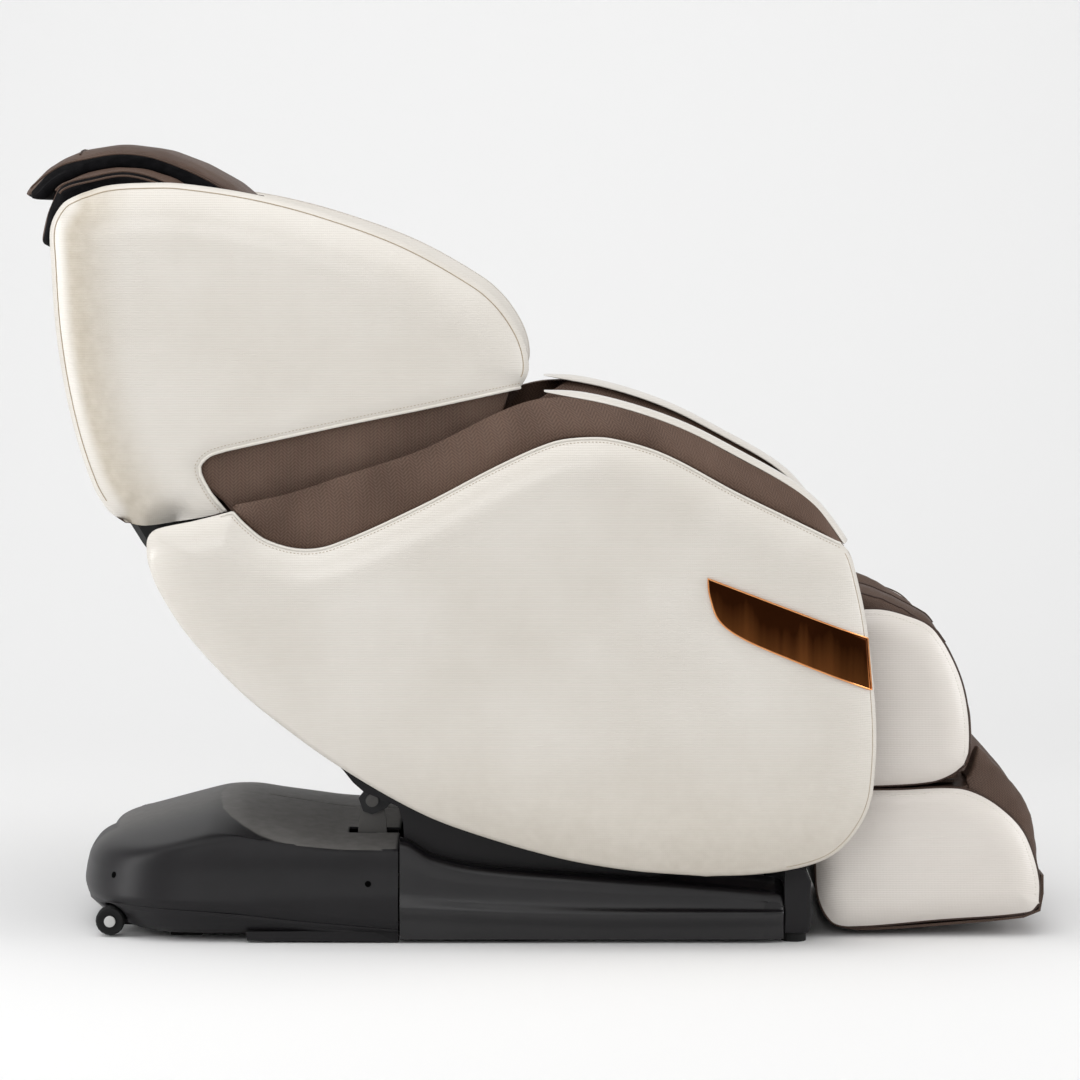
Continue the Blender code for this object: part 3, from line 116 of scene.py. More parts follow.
def finish(name, roughness, specular=0.5, **inputs):
    """Start a material; return it with its shader and its node tree."""
    material = bpy.data.materials.new(name)
    material.use_nodes = True
    shader = material.node_tree.nodes["Principled BSDF"]
    set_inputs(shader, Roughness=roughness, Specular_IOR_Level=specular, **inputs)
    return material, shader, material.node_tree


deselect()
bpy.ops.mesh.primitive_plane_add(size=1.0)
floor = bpy.context.object
floor.name = "studio_floor"
floor.scale = (26.0, 18.0, 1.0)
floor.location = (0.0, -3.0, 0.0)
bpy.ops.object.transform_apply(location=True, rotation=True, scale=True)
bpy.ops.object.mode_set(mode="EDIT")
bpy.ops.mesh.select_mode(type="EDGE")
bpy.ops.mesh.select_all(action="DESELECT")
bpy.ops.object.mode_set(mode="OBJECT")
for edge in floor.data.edges:
    edge.select = all(floor.data.vertices[i].co.y > 5.0 for i in edge.vertices)
bpy.ops.object.mode_set(mode="EDIT")
bpy.ops.mesh.extrude_region_move(TRANSFORM_OT_translate={"value": (0.0, 0.0, 12.0)})
bpy.ops.object.mode_set(mode="OBJECT")
modify(floor, "BEVEL", width=4.0, segments=24)
bpy.ops.object.shade_smooth()
floor.data.materials.append(finish("studio_paper", 0.9, 0.1, Base_Color=(0.88, 0.88, 0.88, 1.0))[0])


def soft_box(name, place, aim, width, height, watts):
    """Hang a large soft light that faces a point."""
    bpy.ops.object.light_add(type="AREA", location=place)
    box = bpy.context.object
    box.name = name
    set_all(box.data, shape="RECTANGLE", size=width, size_y=height, energy=watts)
    box.rotation_euler = (Vector(aim) - Vector(place)).to_track_quat("-Z", "Y").to_euler()


soft_box("overhead_box", (-0.5, -1.0, 3.5), (0.0, -0.1, 0.5), 4.5, 3.0, 66.0)
soft_box("front_box", (-1.2, -5.2, 2.6), (0.0, 0.0, 0.6), 2.2, 1.8, 36.0)
soft_box("left_box", (-3.4, -0.7, 1.1), (-0.5, 0.0, 0.6), 1.1, 2.0, 38.0)
soft_box("right_box", (3.4, -0.9, 1.2), (0.3, 0.0, 0.4), 1.1, 2.0, 28.0)
soft_box("backdrop_box", (0.0, 2.6, 4.2), (0.0, 6.0, 2.0), 9.0, 2.0, 70.0)
room = bpy.data.worlds.new("studio_room")
scene.world = room
room.use_nodes = True
set_inputs(room.node_tree.nodes["Background"], Color=(1.0, 1.0, 1.0, 1.0), Strength=0.525)

# ------------------------------------------------------------------ black moulded plastic of the base
# Injection moulded covers, screwed to the welded frame: satin near-black with a fine spark-eroded grain and
# faint, slightly paler patches.
def node(tree, kind, **settings):
    """Add a shader node; settings name its properties, or its inputs when they start with in_."""
    made = tree.nodes.new("ShaderNode" + kind)
    for key, value in settings.items():
        if key.startswith("in_"):
            made.inputs[key[3:].replace("_", " ")].default_value = value
        else:
            setattr(made, key, value)
    return made


def grain(tree, scale, detail=3.0, stretch=None):
    """Noise over the piece's own coordinates."""
    place = node(tree, "TexCoord")
    noise = node(tree, "TexNoise", in_Scale=scale, in_Detail=detail)
    if stretch:
        mapping = node(tree, "Mapping")
        mapping.inputs["Scale"].default_value = stretch
        tree.links.new(place.outputs["Object"], mapping.inputs["Vector"])
        tree.links.new(mapping.outputs["Vector"], noise.inputs["Vector"])
    else:
        tree.links.new(place.outputs["Object"], noise.inputs["Vector"])
    return noise.outputs["Fac"]


def two_tones(tree, factor, dark, light, low=0.3, high=0.7):
    """Turn a factor into a colour between two tones."""
    ramp = node(tree, "ValToRGB")
    ramp.color_ramp.elements[0].position = low
    ramp.color_ramp.elements[0].color = (*dark, 1.0)
    ramp.color_ramp.elements[1].position = high
    ramp.color_ramp.elements[1].color = (*light, 1.0)
    tree.links.new(factor, ramp.inputs["Fac"])
    return ramp.outputs["Color"]


def spread(tree, factor, low, high):
    """Map a factor to a range of values."""
    made = node(tree, "MapRange", in_To_Min=low, in_To_Max=high)
    tree.links.new(factor, made.inputs["Value"])
    return made.outputs["Result"]


def colour_by(tree, shader, factor, dark, light, low=0.3, high=0.7):
    """Colour a surface between two tones."""
    tree.links.new(two_tones(tree, factor, dark, light, low, high), shader.inputs["Base Color"])


def rough_by(tree, shader, factor, low, high):
    """Make a surface rougher where a factor is high."""
    tree.links.new(spread(tree, factor, low, high), shader.inputs["Roughness"])


def relief(tree, shader, height, depth, strength=1.0):
    """Bump the surface by a height field; depth is in metres."""
    bump = node(tree, "Bump", in_Distance=depth, in_Strength=strength)
    tree.links.new(height, bump.inputs["Height"])
    tree.links.new(bump.outputs["Normal"], shader.inputs["Normal"])


def moulded(name, dark, light, roughness, depth=0.00012, specular=0.25):
    """Moulded plastic with a fine grain and faint patches of wear."""
    material, shader, tree = finish(name, roughness, specular)
    patches = grain(tree, 7.0, 5.0)
    colour_by(tree, shader, patches, dark, light)
    rough_by(tree, shader, patches, roughness - 0.05, roughness + 0.08)
    relief(tree, shader, grain(tree, 1500.0, 2.0), depth, 0.5)
    return material


base_black = moulded("base_black_satin", (0.007, 0.0065, 0.0075), (0.012, 0.011, 0.0125), 0.40)
deep_black = moulded("recess_black", (0.004, 0.004, 0.004), (0.007, 0.007, 0.007), 0.55)


def dress(piece, material, body, replaced=(), angle=35.0):
    """Shade a finished piece, give it its material and set it on its body."""
    piece.data.materials.clear()
    piece.data.materials.append(material)
    take(piece)
    bpy.ops.object.shade_smooth_by_angle(angle=math.radians(angle))
    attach(piece, body)
    if replaced:
        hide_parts(*replaced)
    return piece


def edit_all(piece, *steps):
    """Run mesh operators on all of a piece; each step is an operator with its settings."""
    take(piece)
    bpy.ops.object.mode_set(mode="EDIT")
    bpy.ops.mesh.select_all(action="SELECT")
    for operator, settings in steps:
        operator(**settings)
    bpy.ops.object.mode_set(mode="OBJECT")


def copy_of(label, name):
    """Copy a CAD node's mesh into a free piece with merged corners and four-sided faces."""
    take(nodes[label])
    bpy.ops.object.duplicate()
    piece = bpy.context.object
    piece.name = name
    bpy.ops.object.parent_clear(type="CLEAR_KEEP_TRANSFORM")
    if "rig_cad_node" in piece:
        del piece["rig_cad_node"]
    edit_all(piece, (bpy.ops.mesh.remove_doubles, {"threshold": 0.00002}),
             (bpy.ops.mesh.tris_convert_to_quads, {"face_threshold": 0.7, "shape_threshold": 0.9}))
    return piece


def crease_sharp(piece, angle, weight=1.0):
    """Crease the edges where faces meet at more than an angle, so that smoothing keeps them."""
    work = bmesh.new()
    work.from_mesh(piece.data)
    crease = work.edges.layers.float.get("crease_edge") or work.edges.layers.float.new("crease_edge")
    for edge in work.edges:
        if len(edge.link_faces) == 2 and edge.calc_face_angle(0.0) > math.radians(angle):
            edge[crease] = weight
    work.to_mesh(piece.data)
    work.free()


tray = copy_of("rear_tray", "rear_tray_skin")
crease_sharp(tray, 40.0)
dress(tray, base_black, "base", ["rear_tray"], 30.0)

block = copy_of("front_foot_block", "front_foot_block_skin")
crease_sharp(block, 45.0)
modify(block, "BEVEL", width=0.003, segments=4, limit_method="ANGLE", angle_limit=math.radians(45.0))
dress(block, base_black, "base", ["front_foot_block"], 40.0)


# ------------------------------------------------------------------ rear base cover
# One large slipper-shaped moulding. Its rounded rear runs forward into a low domed deck with a crease
# along each side; a narrow recess at the rear holds the power inlet, and near-black discs of painted shade stand for
# the screw holes.
def curve_through(points, spans):
    """Return spans + 1 evenly spaced points on a smooth curve through the given points."""
    knots = np.array(points, float)
    lengths = np.linalg.norm(np.diff(knots, axis=0), axis=1)
    slopes = []
    for i in range(len(knots)):
        low, high = max(i - 1, 0), min(i + 1, len(knots) - 1)
        slopes.append((knots[high] - knots[low]) / lengths[low:high].sum())
    fine = []
    for i, length in enumerate(lengths):
        for t in np.arange(24) / 24.0:
            fine.append(knots[i] * (1 + 2 * t) * (1 - t) ** 2 + slopes[i] * length * t * (1 - t) ** 2
                        + knots[i + 1] * t * t * (3 - 2 * t) + slopes[i + 1] * length * t * t * (t - 1))
    fine.append(knots[-1])
    return spaced(np.array(fine), spans)


def spaced(line, spans):
    """Return spans + 1 points spread evenly along a polyline."""
    line = np.array(line, float)
    reach = np.concatenate([[0.0], np.cumsum(np.linalg.norm(np.diff(line, axis=0), axis=1))])
    goal = np.linspace(0.0, reach[-1], spans + 1)
    return np.stack([np.interp(goal, reach, line[:, k]) for k in range(line.shape[1])], axis=1)


def distance_from(spots, line):
    """Distances from (x, z) spots to a polyline."""
    best = np.full(len(spots), 9.0)
    for a, b in zip(line[:-1], line[1:]):
        along = b - a
        t = np.clip((spots - a) @ along / max(along @ along, 1e-12), 0.0, 1.0)
        best = np.minimum(best, np.linalg.norm(spots - a - t[:, None] * along, axis=1))
    return best


def spots_of(piece):
    """A piece's vertices as rows of (x, y, z)."""
    return np.array([v.co for v in piece.data.vertices])


def move_to(piece, spots):
    """Put a piece's vertices where an array says."""
    piece.data.vertices.foreach_set("co", np.asarray(spots, np.float32).ravel())
    piece.data.update()


def sheet_grid(name, columns, rows, place):
    """Add a grid of columns by rows faces and put each vertex where place(s, t) says."""
    deselect()
    bpy.ops.mesh.primitive_grid_add(x_subdivisions=columns, y_subdivisions=rows, size=2.0)
    piece = bpy.context.object
    piece.name = name
    flat = spots_of(piece)
    move_to(piece, place((flat[:, 0] + 1.0) / 2.0, (flat[:, 1] + 1.0) / 2.0))
    return piece


def face_away(piece, side_sign, axis=1):
    """Turn a sheet's faces so that they look outward along an axis."""
    facing = sum(f.normal[axis] * f.area for f in piece.data.polygons)
    if facing * side_sign < 0:
        edit_all(piece, (bpy.ops.mesh.flip_normals, {}))


cover_wall = 0.003


def moulded_sheet(name, table, side_sign, axis=1):
    """Make a cover from a table of profile points, with a wall behind its outer face."""
    columns, rows = len(table) - 1, len(table[0]) - 1

    def place(s, t):
        return table[np.rint(s * columns).astype(int), np.rint(t * rows).astype(int)]

    piece = sheet_grid(name, columns, rows, place)
    face_away(piece, side_sign, axis)
    modify(piece, "SOLIDIFY", thickness=cover_wall, offset=-1.0)
    return piece


base_half = 0.310
slot_inner, slot_outer = 0.1640, 0.1970     # the carriage's uprights pass through the deck here
parting_line = [(-0.710, 0.0510), (-0.690, 0.0530), (-0.640, 0.0555), (-0.600, 0.0555), (-0.526, 0.0520),
                (-0.457, 0.0470), (-0.352, 0.0350), (-0.206, 0.0225)]
roof_line = [(-0.716, 0.128), (-0.695, 0.1385), (-0.674, 0.1460), (-0.647, 0.1530), (-0.610, 0.1625),
             (-0.545, 0.1800), (-0.5045, 0.1900), (-0.4852, 0.1922), (-0.4625, 0.1926), (-0.4438, 0.1910),
             (-0.4094, 0.1853), (-0.3561, 0.1767), (-0.3147, 0.1702), (-0.2799, 0.1670), (-0.206, 0.1650)]
deck_plan = [(-0.4960, 0.000), (-0.4950, 0.060), (-0.4860, 0.140), (-0.4700, 0.190), (-0.4480, 0.232),
             (-0.4260, 0.260), (-0.3960, 0.282), (-0.3660, 0.293), (-0.3000, 0.2935), (-0.2060, 0.2900)]
rear_steps = [(0.002, 0.0), (-0.002, 0.068), (-0.001, 0.080), (0.002, 0.096), (0.007, 0.112), (0.024, 0.138),
              (0.055, 0.165), (0.100, 0.192), (0.165, 0.215), (0.250, 0.230)]
side_steps = [(0.004, 0.0), (0.0, 0.048), (0.002, 0.070), (0.008, 0.090), (0.014, 0.112), (0.018, 0.134),
              (0.024, 0.156), (0.045, 0.186), (0.090, 0.210), (0.150, 0.225)]
fine_plan = [(x, -base_half) for x in np.linspace(-0.206, -0.499, 60)]
for angle in np.linspace(0.0, math.pi / 2, 120):
    fine_plan.append((-0.500 - 0.210 * math.sin(angle) ** (2 / 2.6), -base_half * math.cos(angle) ** (2 / 2.6)))
plan = spaced(fine_plan + [(x, -y) for x, y in reversed(fine_plan[:-1])], 260)
roof_curve = curve_through(roof_line, 120)


def cover_column(x0, y0):
    """One profile of the cover, from the parting line up to the middle of the top."""
    blend = (abs(y0) / base_half) ** 3 if x0 < -0.505 else 1.0
    parting = np.interp(x0, *zip(*parting_line))
    narrow = np.interp(x0, (-0.500, -0.440, -0.366), (1.0, 0.55, 0.12))
    middle = np.array([max(x0, -0.420), 0.0])
    inward = (middle - (x0, y0)) / np.linalg.norm(middle - (x0, y0))
    column = []
    for k, ((rear_in, rear_up), (side_in, side_up)) in enumerate(zip(rear_steps, side_steps)):
        if k > 6:
            side_in = 0.024 + (side_in - 0.024) * narrow
        inset = rear_in + (side_in - rear_in) * blend
        if k == 0:
            height = parting
        else:
            height = rear_up + (side_up - rear_up) * blend
        if k == 1:
            height = height + (parting + 0.011 - height) * blend
        column.append((*(np.array([x0, y0]) + inward * inset), height))
    column.append((*middle, 0.236))
    return curve_through(column, 80)


def roof_level(spots):
    """Height of the low domed top over points of the plan."""
    droop = np.interp(spots[:, 0], (-0.420, -0.206), (0.36, 0.25))
    return np.interp(spots[:, 0], roof_curve[:, 0], roof_curve[:, 1]) - droop * spots[:, 1] ** 2


cover_columns = np.array([cover_column(x0, y0) for x0, y0 in plan])
tall = cover_columns.reshape(-1, 3)
above = tall[:, 2] - roof_level(tall)
round_off = np.interp(tall[:, 0], (-0.520, -0.440), (0.036, 0.007))
near_roof = np.maximum(round_off - np.abs(above), 0.0) / round_off
tall[:, 2] -= np.maximum(above, 0.0) + round_off * near_roof ** 3 / 6.0

recess_low, recess_high, recess_back = 0.1172, 0.1453, -0.6435
for column, (x0, y0) in zip(cover_columns, plan):
    if x0 > -0.6 or not -0.100 < y0 < 0.222:
        continue
    first = int(np.argmax(column[:, 2] > recess_low))
    last = int(np.argmax(column[:, 2] > recess_high))
    for k, level in ((first - 1, recess_low), (last, recess_high)):
        span = column[max(k - 1, 0):k + 2]
        column[k] = [np.interp(level, span[:, 2], span[:, axis]) for axis in range(3)]
    column[first:last, 0] = np.maximum(column[first:last, 0], recess_back)
    column[first, 2], column[last - 1, 2] = recess_low + 0.0003, recess_high - 0.0003


cover = moulded_sheet("rear_cover_skin", cover_columns, 1, 2)


def cut_box(piece, low, high):
    """Cut a box-shaped opening out of a piece."""
    deselect()
    centre = [(a + b) / 2 for a, b in zip(low, high)]
    bpy.ops.mesh.primitive_cube_add(size=1.0, location=centre)
    box = bpy.context.object
    box.scale = [b - a for a, b in zip(low, high)]
    bpy.ops.object.transform_apply(location=True, rotation=True, scale=True)
    modify(piece, "BOOLEAN", operation="DIFFERENCE", solver="EXACT", object=box)
    bpy.data.objects.remove(box, do_unlink=True)


for low, high in ((-slot_outer, -slot_inner), (slot_inner, slot_outer)):
    cut_box(cover, (-0.286, low, 0.080), (-0.150, high, 0.300))


def marked_blend(material, name, mark_name, other_dark, other_light, rough=None, soft=0.15):
    """A copy of a material that turns to another tone where the mesh carries a mark."""
    made = material.copy()
    made.name = name
    tree = made.node_tree
    shader = tree.nodes["Principled BSDF"]
    mark = node(tree, "Attribute", attribute_name=mark_name)
    share = node(tree, "MapRange", interpolation_type="SMOOTHSTEP", in_From_Min=0.5 - soft,
                 in_From_Max=0.5 + soft)
    tree.links.new(mark.outputs["Fac"], share.inputs["Value"])
    mix = node(tree, "MixRGB")
    tree.links.new(share.outputs["Result"], mix.inputs["Fac"])
    tree.links.new(shader.inputs["Base Color"].links[0].from_socket, mix.inputs["Color1"])
    tree.links.new(two_tones(tree, grain(tree, 60.0, 4.0), other_dark, other_light), mix.inputs["Color2"])
    tree.links.new(mix.outputs["Color"], shader.inputs["Base Color"])
    if rough:
        rough_by(tree, shader, share.outputs["Result"], *rough)
    return made


def mark_mesh(piece, name, values):
    """Store one value per vertex under a name."""
    layer = piece.data.attributes.new(name, "FLOAT", "POINT")
    layer.data.foreach_set("value", np.asarray(values, np.float32))


def small_disc(name, sides, radius, depth, place, turn):
    """A short cylinder at a place, turned by three angles."""
    deselect()
    bpy.ops.mesh.primitive_cylinder_add(vertices=sides, radius=radius, depth=depth, location=place, rotation=turn)
    piece = bpy.context.object
    piece.name = name
    bpy.ops.object.transform_apply(location=True, rotation=True, scale=True)
    return piece


# Painted sheen: where the mesh's deck mark is set, the satin black turns a pale grey. This is a painted reflection
# of the overhead light on the upward-facing top.
cover_black_painted_sheen = marked_blend(base_black, "cover_black_satin", "deck", (0.165, 0.158, 0.150), (0.205, 0.197, 0.188),
                           (0.42, 0.62), 0.5)
dress(cover, cover_black_painted_sheen, "base", ["rear_base_cover"], 38.0)
# The painted sheen mask: full on the upward-facing deck inside its side creases, up to 0.6 on upward-facing faces of
# the dome near the middle, none in the rear recess.
spots = spots_of(cover)
upward = np.array([v.normal[2] for v in cover.data.vertices])
edge_line = np.array(deck_plan)
beside = np.interp(spots[:, 0], edge_line[:, 0], edge_line[:, 1], left=-0.2) - np.abs(spots[:, 1])
painted_sheen_on_deck = np.clip(0.5 + beside / 0.012, 0.0, 1.0)
away = np.clip((np.abs(spots[:, 1]) - 0.015) / 0.235, 0.0, 1.0)
painted_sheen_on_dome = np.clip((upward - 0.30) / 0.50, 0.0, 1.0) * (1.0 - away * away * (3.0 - 2.0 * away))
in_recess = (spots[:, 0] < -0.605) & (spots[:, 2] < 0.1185)
mark_mesh(cover, "deck", np.maximum(painted_sheen_on_deck * (upward > 0.80), 0.60 * painted_sheen_on_dome * (beside < 0.010)) * ~in_recess)
# Painted shade: the screw holes are not cut. Near-black, matt discs laid on the cover's face stand in for the shade
# inside them.
hole_painted_shade = moulded("screw_hole_black", (0.0006, 0.0006, 0.0006), (0.0014, 0.0014, 0.0014), 0.9, specular=0.02)
for end, x, z in (("front", -0.252, 0.0920), ("rear", -0.6475, 0.0970)):
    for label, side in both_sides:
        hit, place, normal, _ = cover.ray_cast((x, side * 0.5, z), (0.0, -side, 0.0))
        if hit:
            hole = small_disc("cover_screw_hole_" + end + "_" + label, 20, 0.0048, 0.0016, place,
                              tuple(normal.to_track_quat("Z", "Y").to_euler()))
            dress(hole, hole_painted_shade, "base")


# ------------------------------------------------------------------ front side covers
# Long glossy side mouldings from the rear cover to the front foot. A shelf along the top rolls over a soft
# crease into a shallow channel, with a rounded ridge below it.
cover_gloss = moulded("side_cover_gloss", (0.007, 0.0065, 0.0075), (0.011, 0.010, 0.0115), 0.30, specular=0.5)
top_crease = [(-0.2035, 0.156), (-0.187, 0.151), (-0.155, 0.131), (-0.086, 0.115), (0.072, 0.101),
              (0.228, 0.090), (0.377, 0.075), (0.386, 0.068)]
low_ridge = [(-0.2035, 0.054), (-0.050, 0.047), (0.100, 0.043), (0.200, 0.043), (0.386, 0.044)]
crease_curve, ridge_curve = curve_through(top_crease, 80), curve_through(low_ridge, 80)


def side_cover_profile(x):
    """Points from the hidden inner edge of the shelf down to the hem, as (half width, height)."""
    high = np.interp(x, crease_curve[:, 0], crease_curve[:, 1])
    low = np.interp(x, ridge_curve[:, 0], ridge_curve[:, 1])
    flow = np.clip((0.386 - x) / 0.030, 0.0, 1.0) ** 0.5
    lift = 0.018 * np.clip((x - 0.185) / 0.060, 0.0, 1.0)
    steps = [(0.048, high + 0.003 + lift), (0.036, high + 0.0035 + 0.6 * lift), (0.024, high + 0.003),
             (0.0165, high + 0.0005), (0.0125, high - 0.006), (0.0115, high - 0.014),
             (0.0110, 0.60 * high + 0.40 * low), (0.0070, 0.25 * high + 0.75 * low), (0.0018, low + 0.006),
             (0.0004, low), (0.0018, low - 0.008), (0.0050, low - 0.017), (0.0060, 0.016), (0.0062, 0.0064)]
    turned = [(0.048 - (0.048 - inset) * (0.82 + 0.18 * flow), height) for inset, height in steps]
    line = curve_through([(base_half - inset, height) for inset, height in turned], 60)
    return np.stack([np.full(61, x), line[:, 0], line[:, 1]], axis=1)


cover_stations = np.concatenate([np.linspace(-0.2035, 0.350, 120), np.linspace(0.352, 0.386, 41)])
side_profiles = np.array([side_cover_profile(x) for x in cover_stations])
for label, side in both_sides:
    long_cover = moulded_sheet("side_cover_skin_" + label, side_profiles * (1.0, side, 1.0), side)
    dress(long_cover, cover_gloss, "base", ["side_cover_" + label], 50.0)

# ------------------------------------------------------------------ wheels, pads and frame steel
# Two transport wheels with black tyres and pale nylon hubs turn on short axles at the rear. Rubber pads and feet
# are pressed into the base. The steel frames are welded and powder coated; the drives sit in grey cases.
frame_paint = moulded("frame_paint_black", (0.020, 0.020, 0.021), (0.032, 0.032, 0.034), 0.42, 0.0002)
carriage_paint = moulded("carriage_paint_grey", (0.120, 0.116, 0.110), (0.155, 0.150, 0.143), 0.55, 0.0002)
rubber = moulded("foot_rubber", (0.008, 0.008, 0.008), (0.014, 0.014, 0.014), 0.75, 0.0003)
hub_grey = moulded("hub_nylon_grey", (0.50, 0.50, 0.49), (0.60, 0.60, 0.58), 0.40)
case_grey = moulded("case_grey", (0.07, 0.07, 0.07), (0.10, 0.10, 0.10), 0.45)
nylon = moulded("roller_nylon", (0.52, 0.50, 0.45), (0.64, 0.62, 0.57), 0.38)


def repaint(labels, material):
    """Give carried-over CAD nodes a better material."""
    for label in labels:
        mesh = nodes[label].data
        for i in range(max(len(mesh.materials), 1)):
            if i < len(mesh.materials):
                mesh.materials[i] = material
            else:
                mesh.materials.append(material)


repaint(["base_frame", "seat_frame", "back_frame", "calf_frame", "foot_frame"], frame_paint)
repaint(["slide_carriage"], carriage_paint)
repaint(["rear_pad_left", "rear_pad_right", "front_foot_left", "front_foot_right"], rubber)
repaint(["transport_wheel_left", "transport_wheel_right"], rubber)
repaint(["power_panel", "control_box", "seat_skirt"], base_black)
repaint(["leg_actuator", "recline_actuator", "massage_carriage", "roller_arm_left", "roller_arm_right"], case_grey)
repaint(["massage_roller_lower_left", "massage_roller_lower_right", "massage_roller_upper_left",
         "massage_roller_upper_right"], nylon)
repaint(["back_cover"], deep_black)
axle_x, axle_z, wheel_face = -0.654, 0.025, 0.2525
for label, side in both_sides:
    hub = small_disc("wheel_hub_" + label, 32, 0.0088, 0.003, (axle_x, side * wheel_face, axle_z),
                     (math.radians(90.0), 0.0, 0.0))
    modify(hub, "BEVEL", width=0.0008, segments=3)
    dress(hub, hub_grey, "wheel_" + label)


# ------------------------------------------------------------------ ivory leatherette of wings and arms
# Pearly synthetic leather with a fine woven emboss of level ribs, stretched over a padded moulded
# shell. White piping and a line of stitches finish the edges beside the brown panels.
def arithmetic(tree, operation, a, b=None):
    """Add a Math node; a and b are sockets or numbers."""
    made = node(tree, "Math", operation=operation)
    for socket, value in zip(made.inputs, (a, b)):
        if isinstance(value, (int, float)):
            socket.default_value = value
        elif value is not None:
            tree.links.new(value, socket)
    return made.outputs["Value"]


def scaled(tree, value, factor):
    """A field times a number."""
    return arithmetic(tree, "MULTIPLY", value, factor)


def plus(tree, value, extra, share):
    """A field with a share of another one added."""
    return arithmetic(tree, "ADD", value, scaled(tree, extra, share))


def wave(tree, value, period, phase=None):
    """A sine wave over a field."""
    level = scaled(tree, value, 2 * math.pi / period)
    if phase is not None:
        level = arithmetic(tree, "ADD", level, phase)
    return arithmetic(tree, "SINE", level)


def axes(tree):
    """The three components of the piece's own coordinates."""
    split = node(tree, "SeparateXYZ")
    tree.links.new(node(tree, "TexCoord").outputs["Object"], split.inputs["Vector"])
    return split.outputs


def ivory_cloth(name, dark, light, rib=0.0036):
    """Ivory leatherette: level ribs broken by a fine cross weave."""
    material, shader, tree = finish(name, 0.34, 0.50, Coat_Weight=0.45, Coat_Roughness=0.22)
    place = axes(tree)
    ribs = wave(tree, place["Z"], rib, scaled(tree, grain(tree, 30.0, 2.0), 1.2))
    weave = plus(tree, ribs, wave(tree, place["X"], rib * 0.8), 0.35)
    relief(tree, shader, plus(tree, weave, grain(tree, 900.0, 2.0), 1.4), 0.00016, 0.55)
    cloud = grain(tree, 5.0, 4.0)
    colour_by(tree, shader, plus(tree, scaled(tree, cloud, 0.75), ribs, 0.07), dark, light, 0.12, 0.72)
    rough_by(tree, shader, cloud, 0.28, 0.40)
    return material


def speckled(name, roughness, scale, dark, light, rough_scale=None, rough_range=(), **inputs):
    """A plain material mottled between two tones, and between two roughnesses where they are given."""
    material, shader, tree = finish(name, roughness, **inputs)
    colour_by(tree, shader, grain(tree, scale), dark, light)
    if rough_scale:
        rough_by(tree, shader, grain(tree, rough_scale), *rough_range)
    return material


ivory = ivory_cloth("ivory_leatherette", (0.640, 0.598, 0.536), (0.765, 0.732, 0.682))
# Painted shade: a copy of the ivory that turns a darker beige where the mesh's mark is set.
ivory_shaded = marked_blend(ivory, "ivory_leatherette_shaded", "painted_shade", (0.500, 0.442, 0.355), (0.585, 0.528, 0.440),
                            None, 0.5)
ivory_leg = ivory_cloth("ivory_leatherette_leg", (0.690, 0.640, 0.588), (0.790, 0.748, 0.700), 0.0028)
ivory_trim = ivory_cloth("ivory_piping", (0.74, 0.70, 0.63), (0.82, 0.79, 0.73), 0.0012)
thread = speckled("stitch_thread", 0.7, 800.0, (0.40, 0.33, 0.25), (0.52, 0.44, 0.35))
# The welt along the wing's rim is a real seam. Its thread is darker than the stitches, as painted shadow of the
# seam's groove.
welt_thread_and_shadow = speckled("seam_shadow_thread", 0.7, 700.0, (0.34, 0.27, 0.19), (0.46, 0.38, 0.28))


def round_cord(name, points, radius, closed=False):
    """A round trim along a line of points."""
    line = bpy.data.curves.new(name, "CURVE")
    line.dimensions = "3D"
    spline = line.splines.new("POLY")
    spline.points.add(len(points) - 1)
    for spot, point in zip(spline.points, points):
        spot.co = (*point, 1.0)
    spline.use_cyclic_u = closed
    line.bevel_depth = radius
    line.bevel_resolution = 2
    line.use_fill_caps = True
    piece = bpy.data.objects.new(name, line)
    scene.collection.objects.link(piece)
    take(piece)
    bpy.ops.object.convert(target="MESH")
    piece = bpy.context.object
    piece.name = name
    return piece


def cast_on(piece, starts, aim, lift):
    """Points where rays along aim meet a piece, raised off its face by lift."""
    bpy.context.view_layer.update()
    found = []
    for start in starts:
        hit, place, normal, _ = piece.ray_cast(start, aim)
        if hit:
            found.append(np.array(place) + np.array(normal) * lift)
    return found


def laid_on(piece, line, side, lift, spans):
    """Lay an (x, z) line on the outer face of a piece, seen along Y."""
    return cast_on(piece, [(x, side * 0.8, z) for x, z in spaced(line, spans)], (0.0, -side, 0.0), lift)


def unit_rows(rows):
    """Scale each row to length one."""
    return rows / np.maximum(np.linalg.norm(rows, axis=1), 1e-9)[:, None]


def offset_line(line, distance):
    """Move an (x, z) polyline to its left by a distance."""
    line = np.array(line, float)
    ahead = unit_rows(np.gradient(line, axis=0))
    return line + np.stack([-ahead[:, 1], ahead[:, 0]], axis=1) * distance


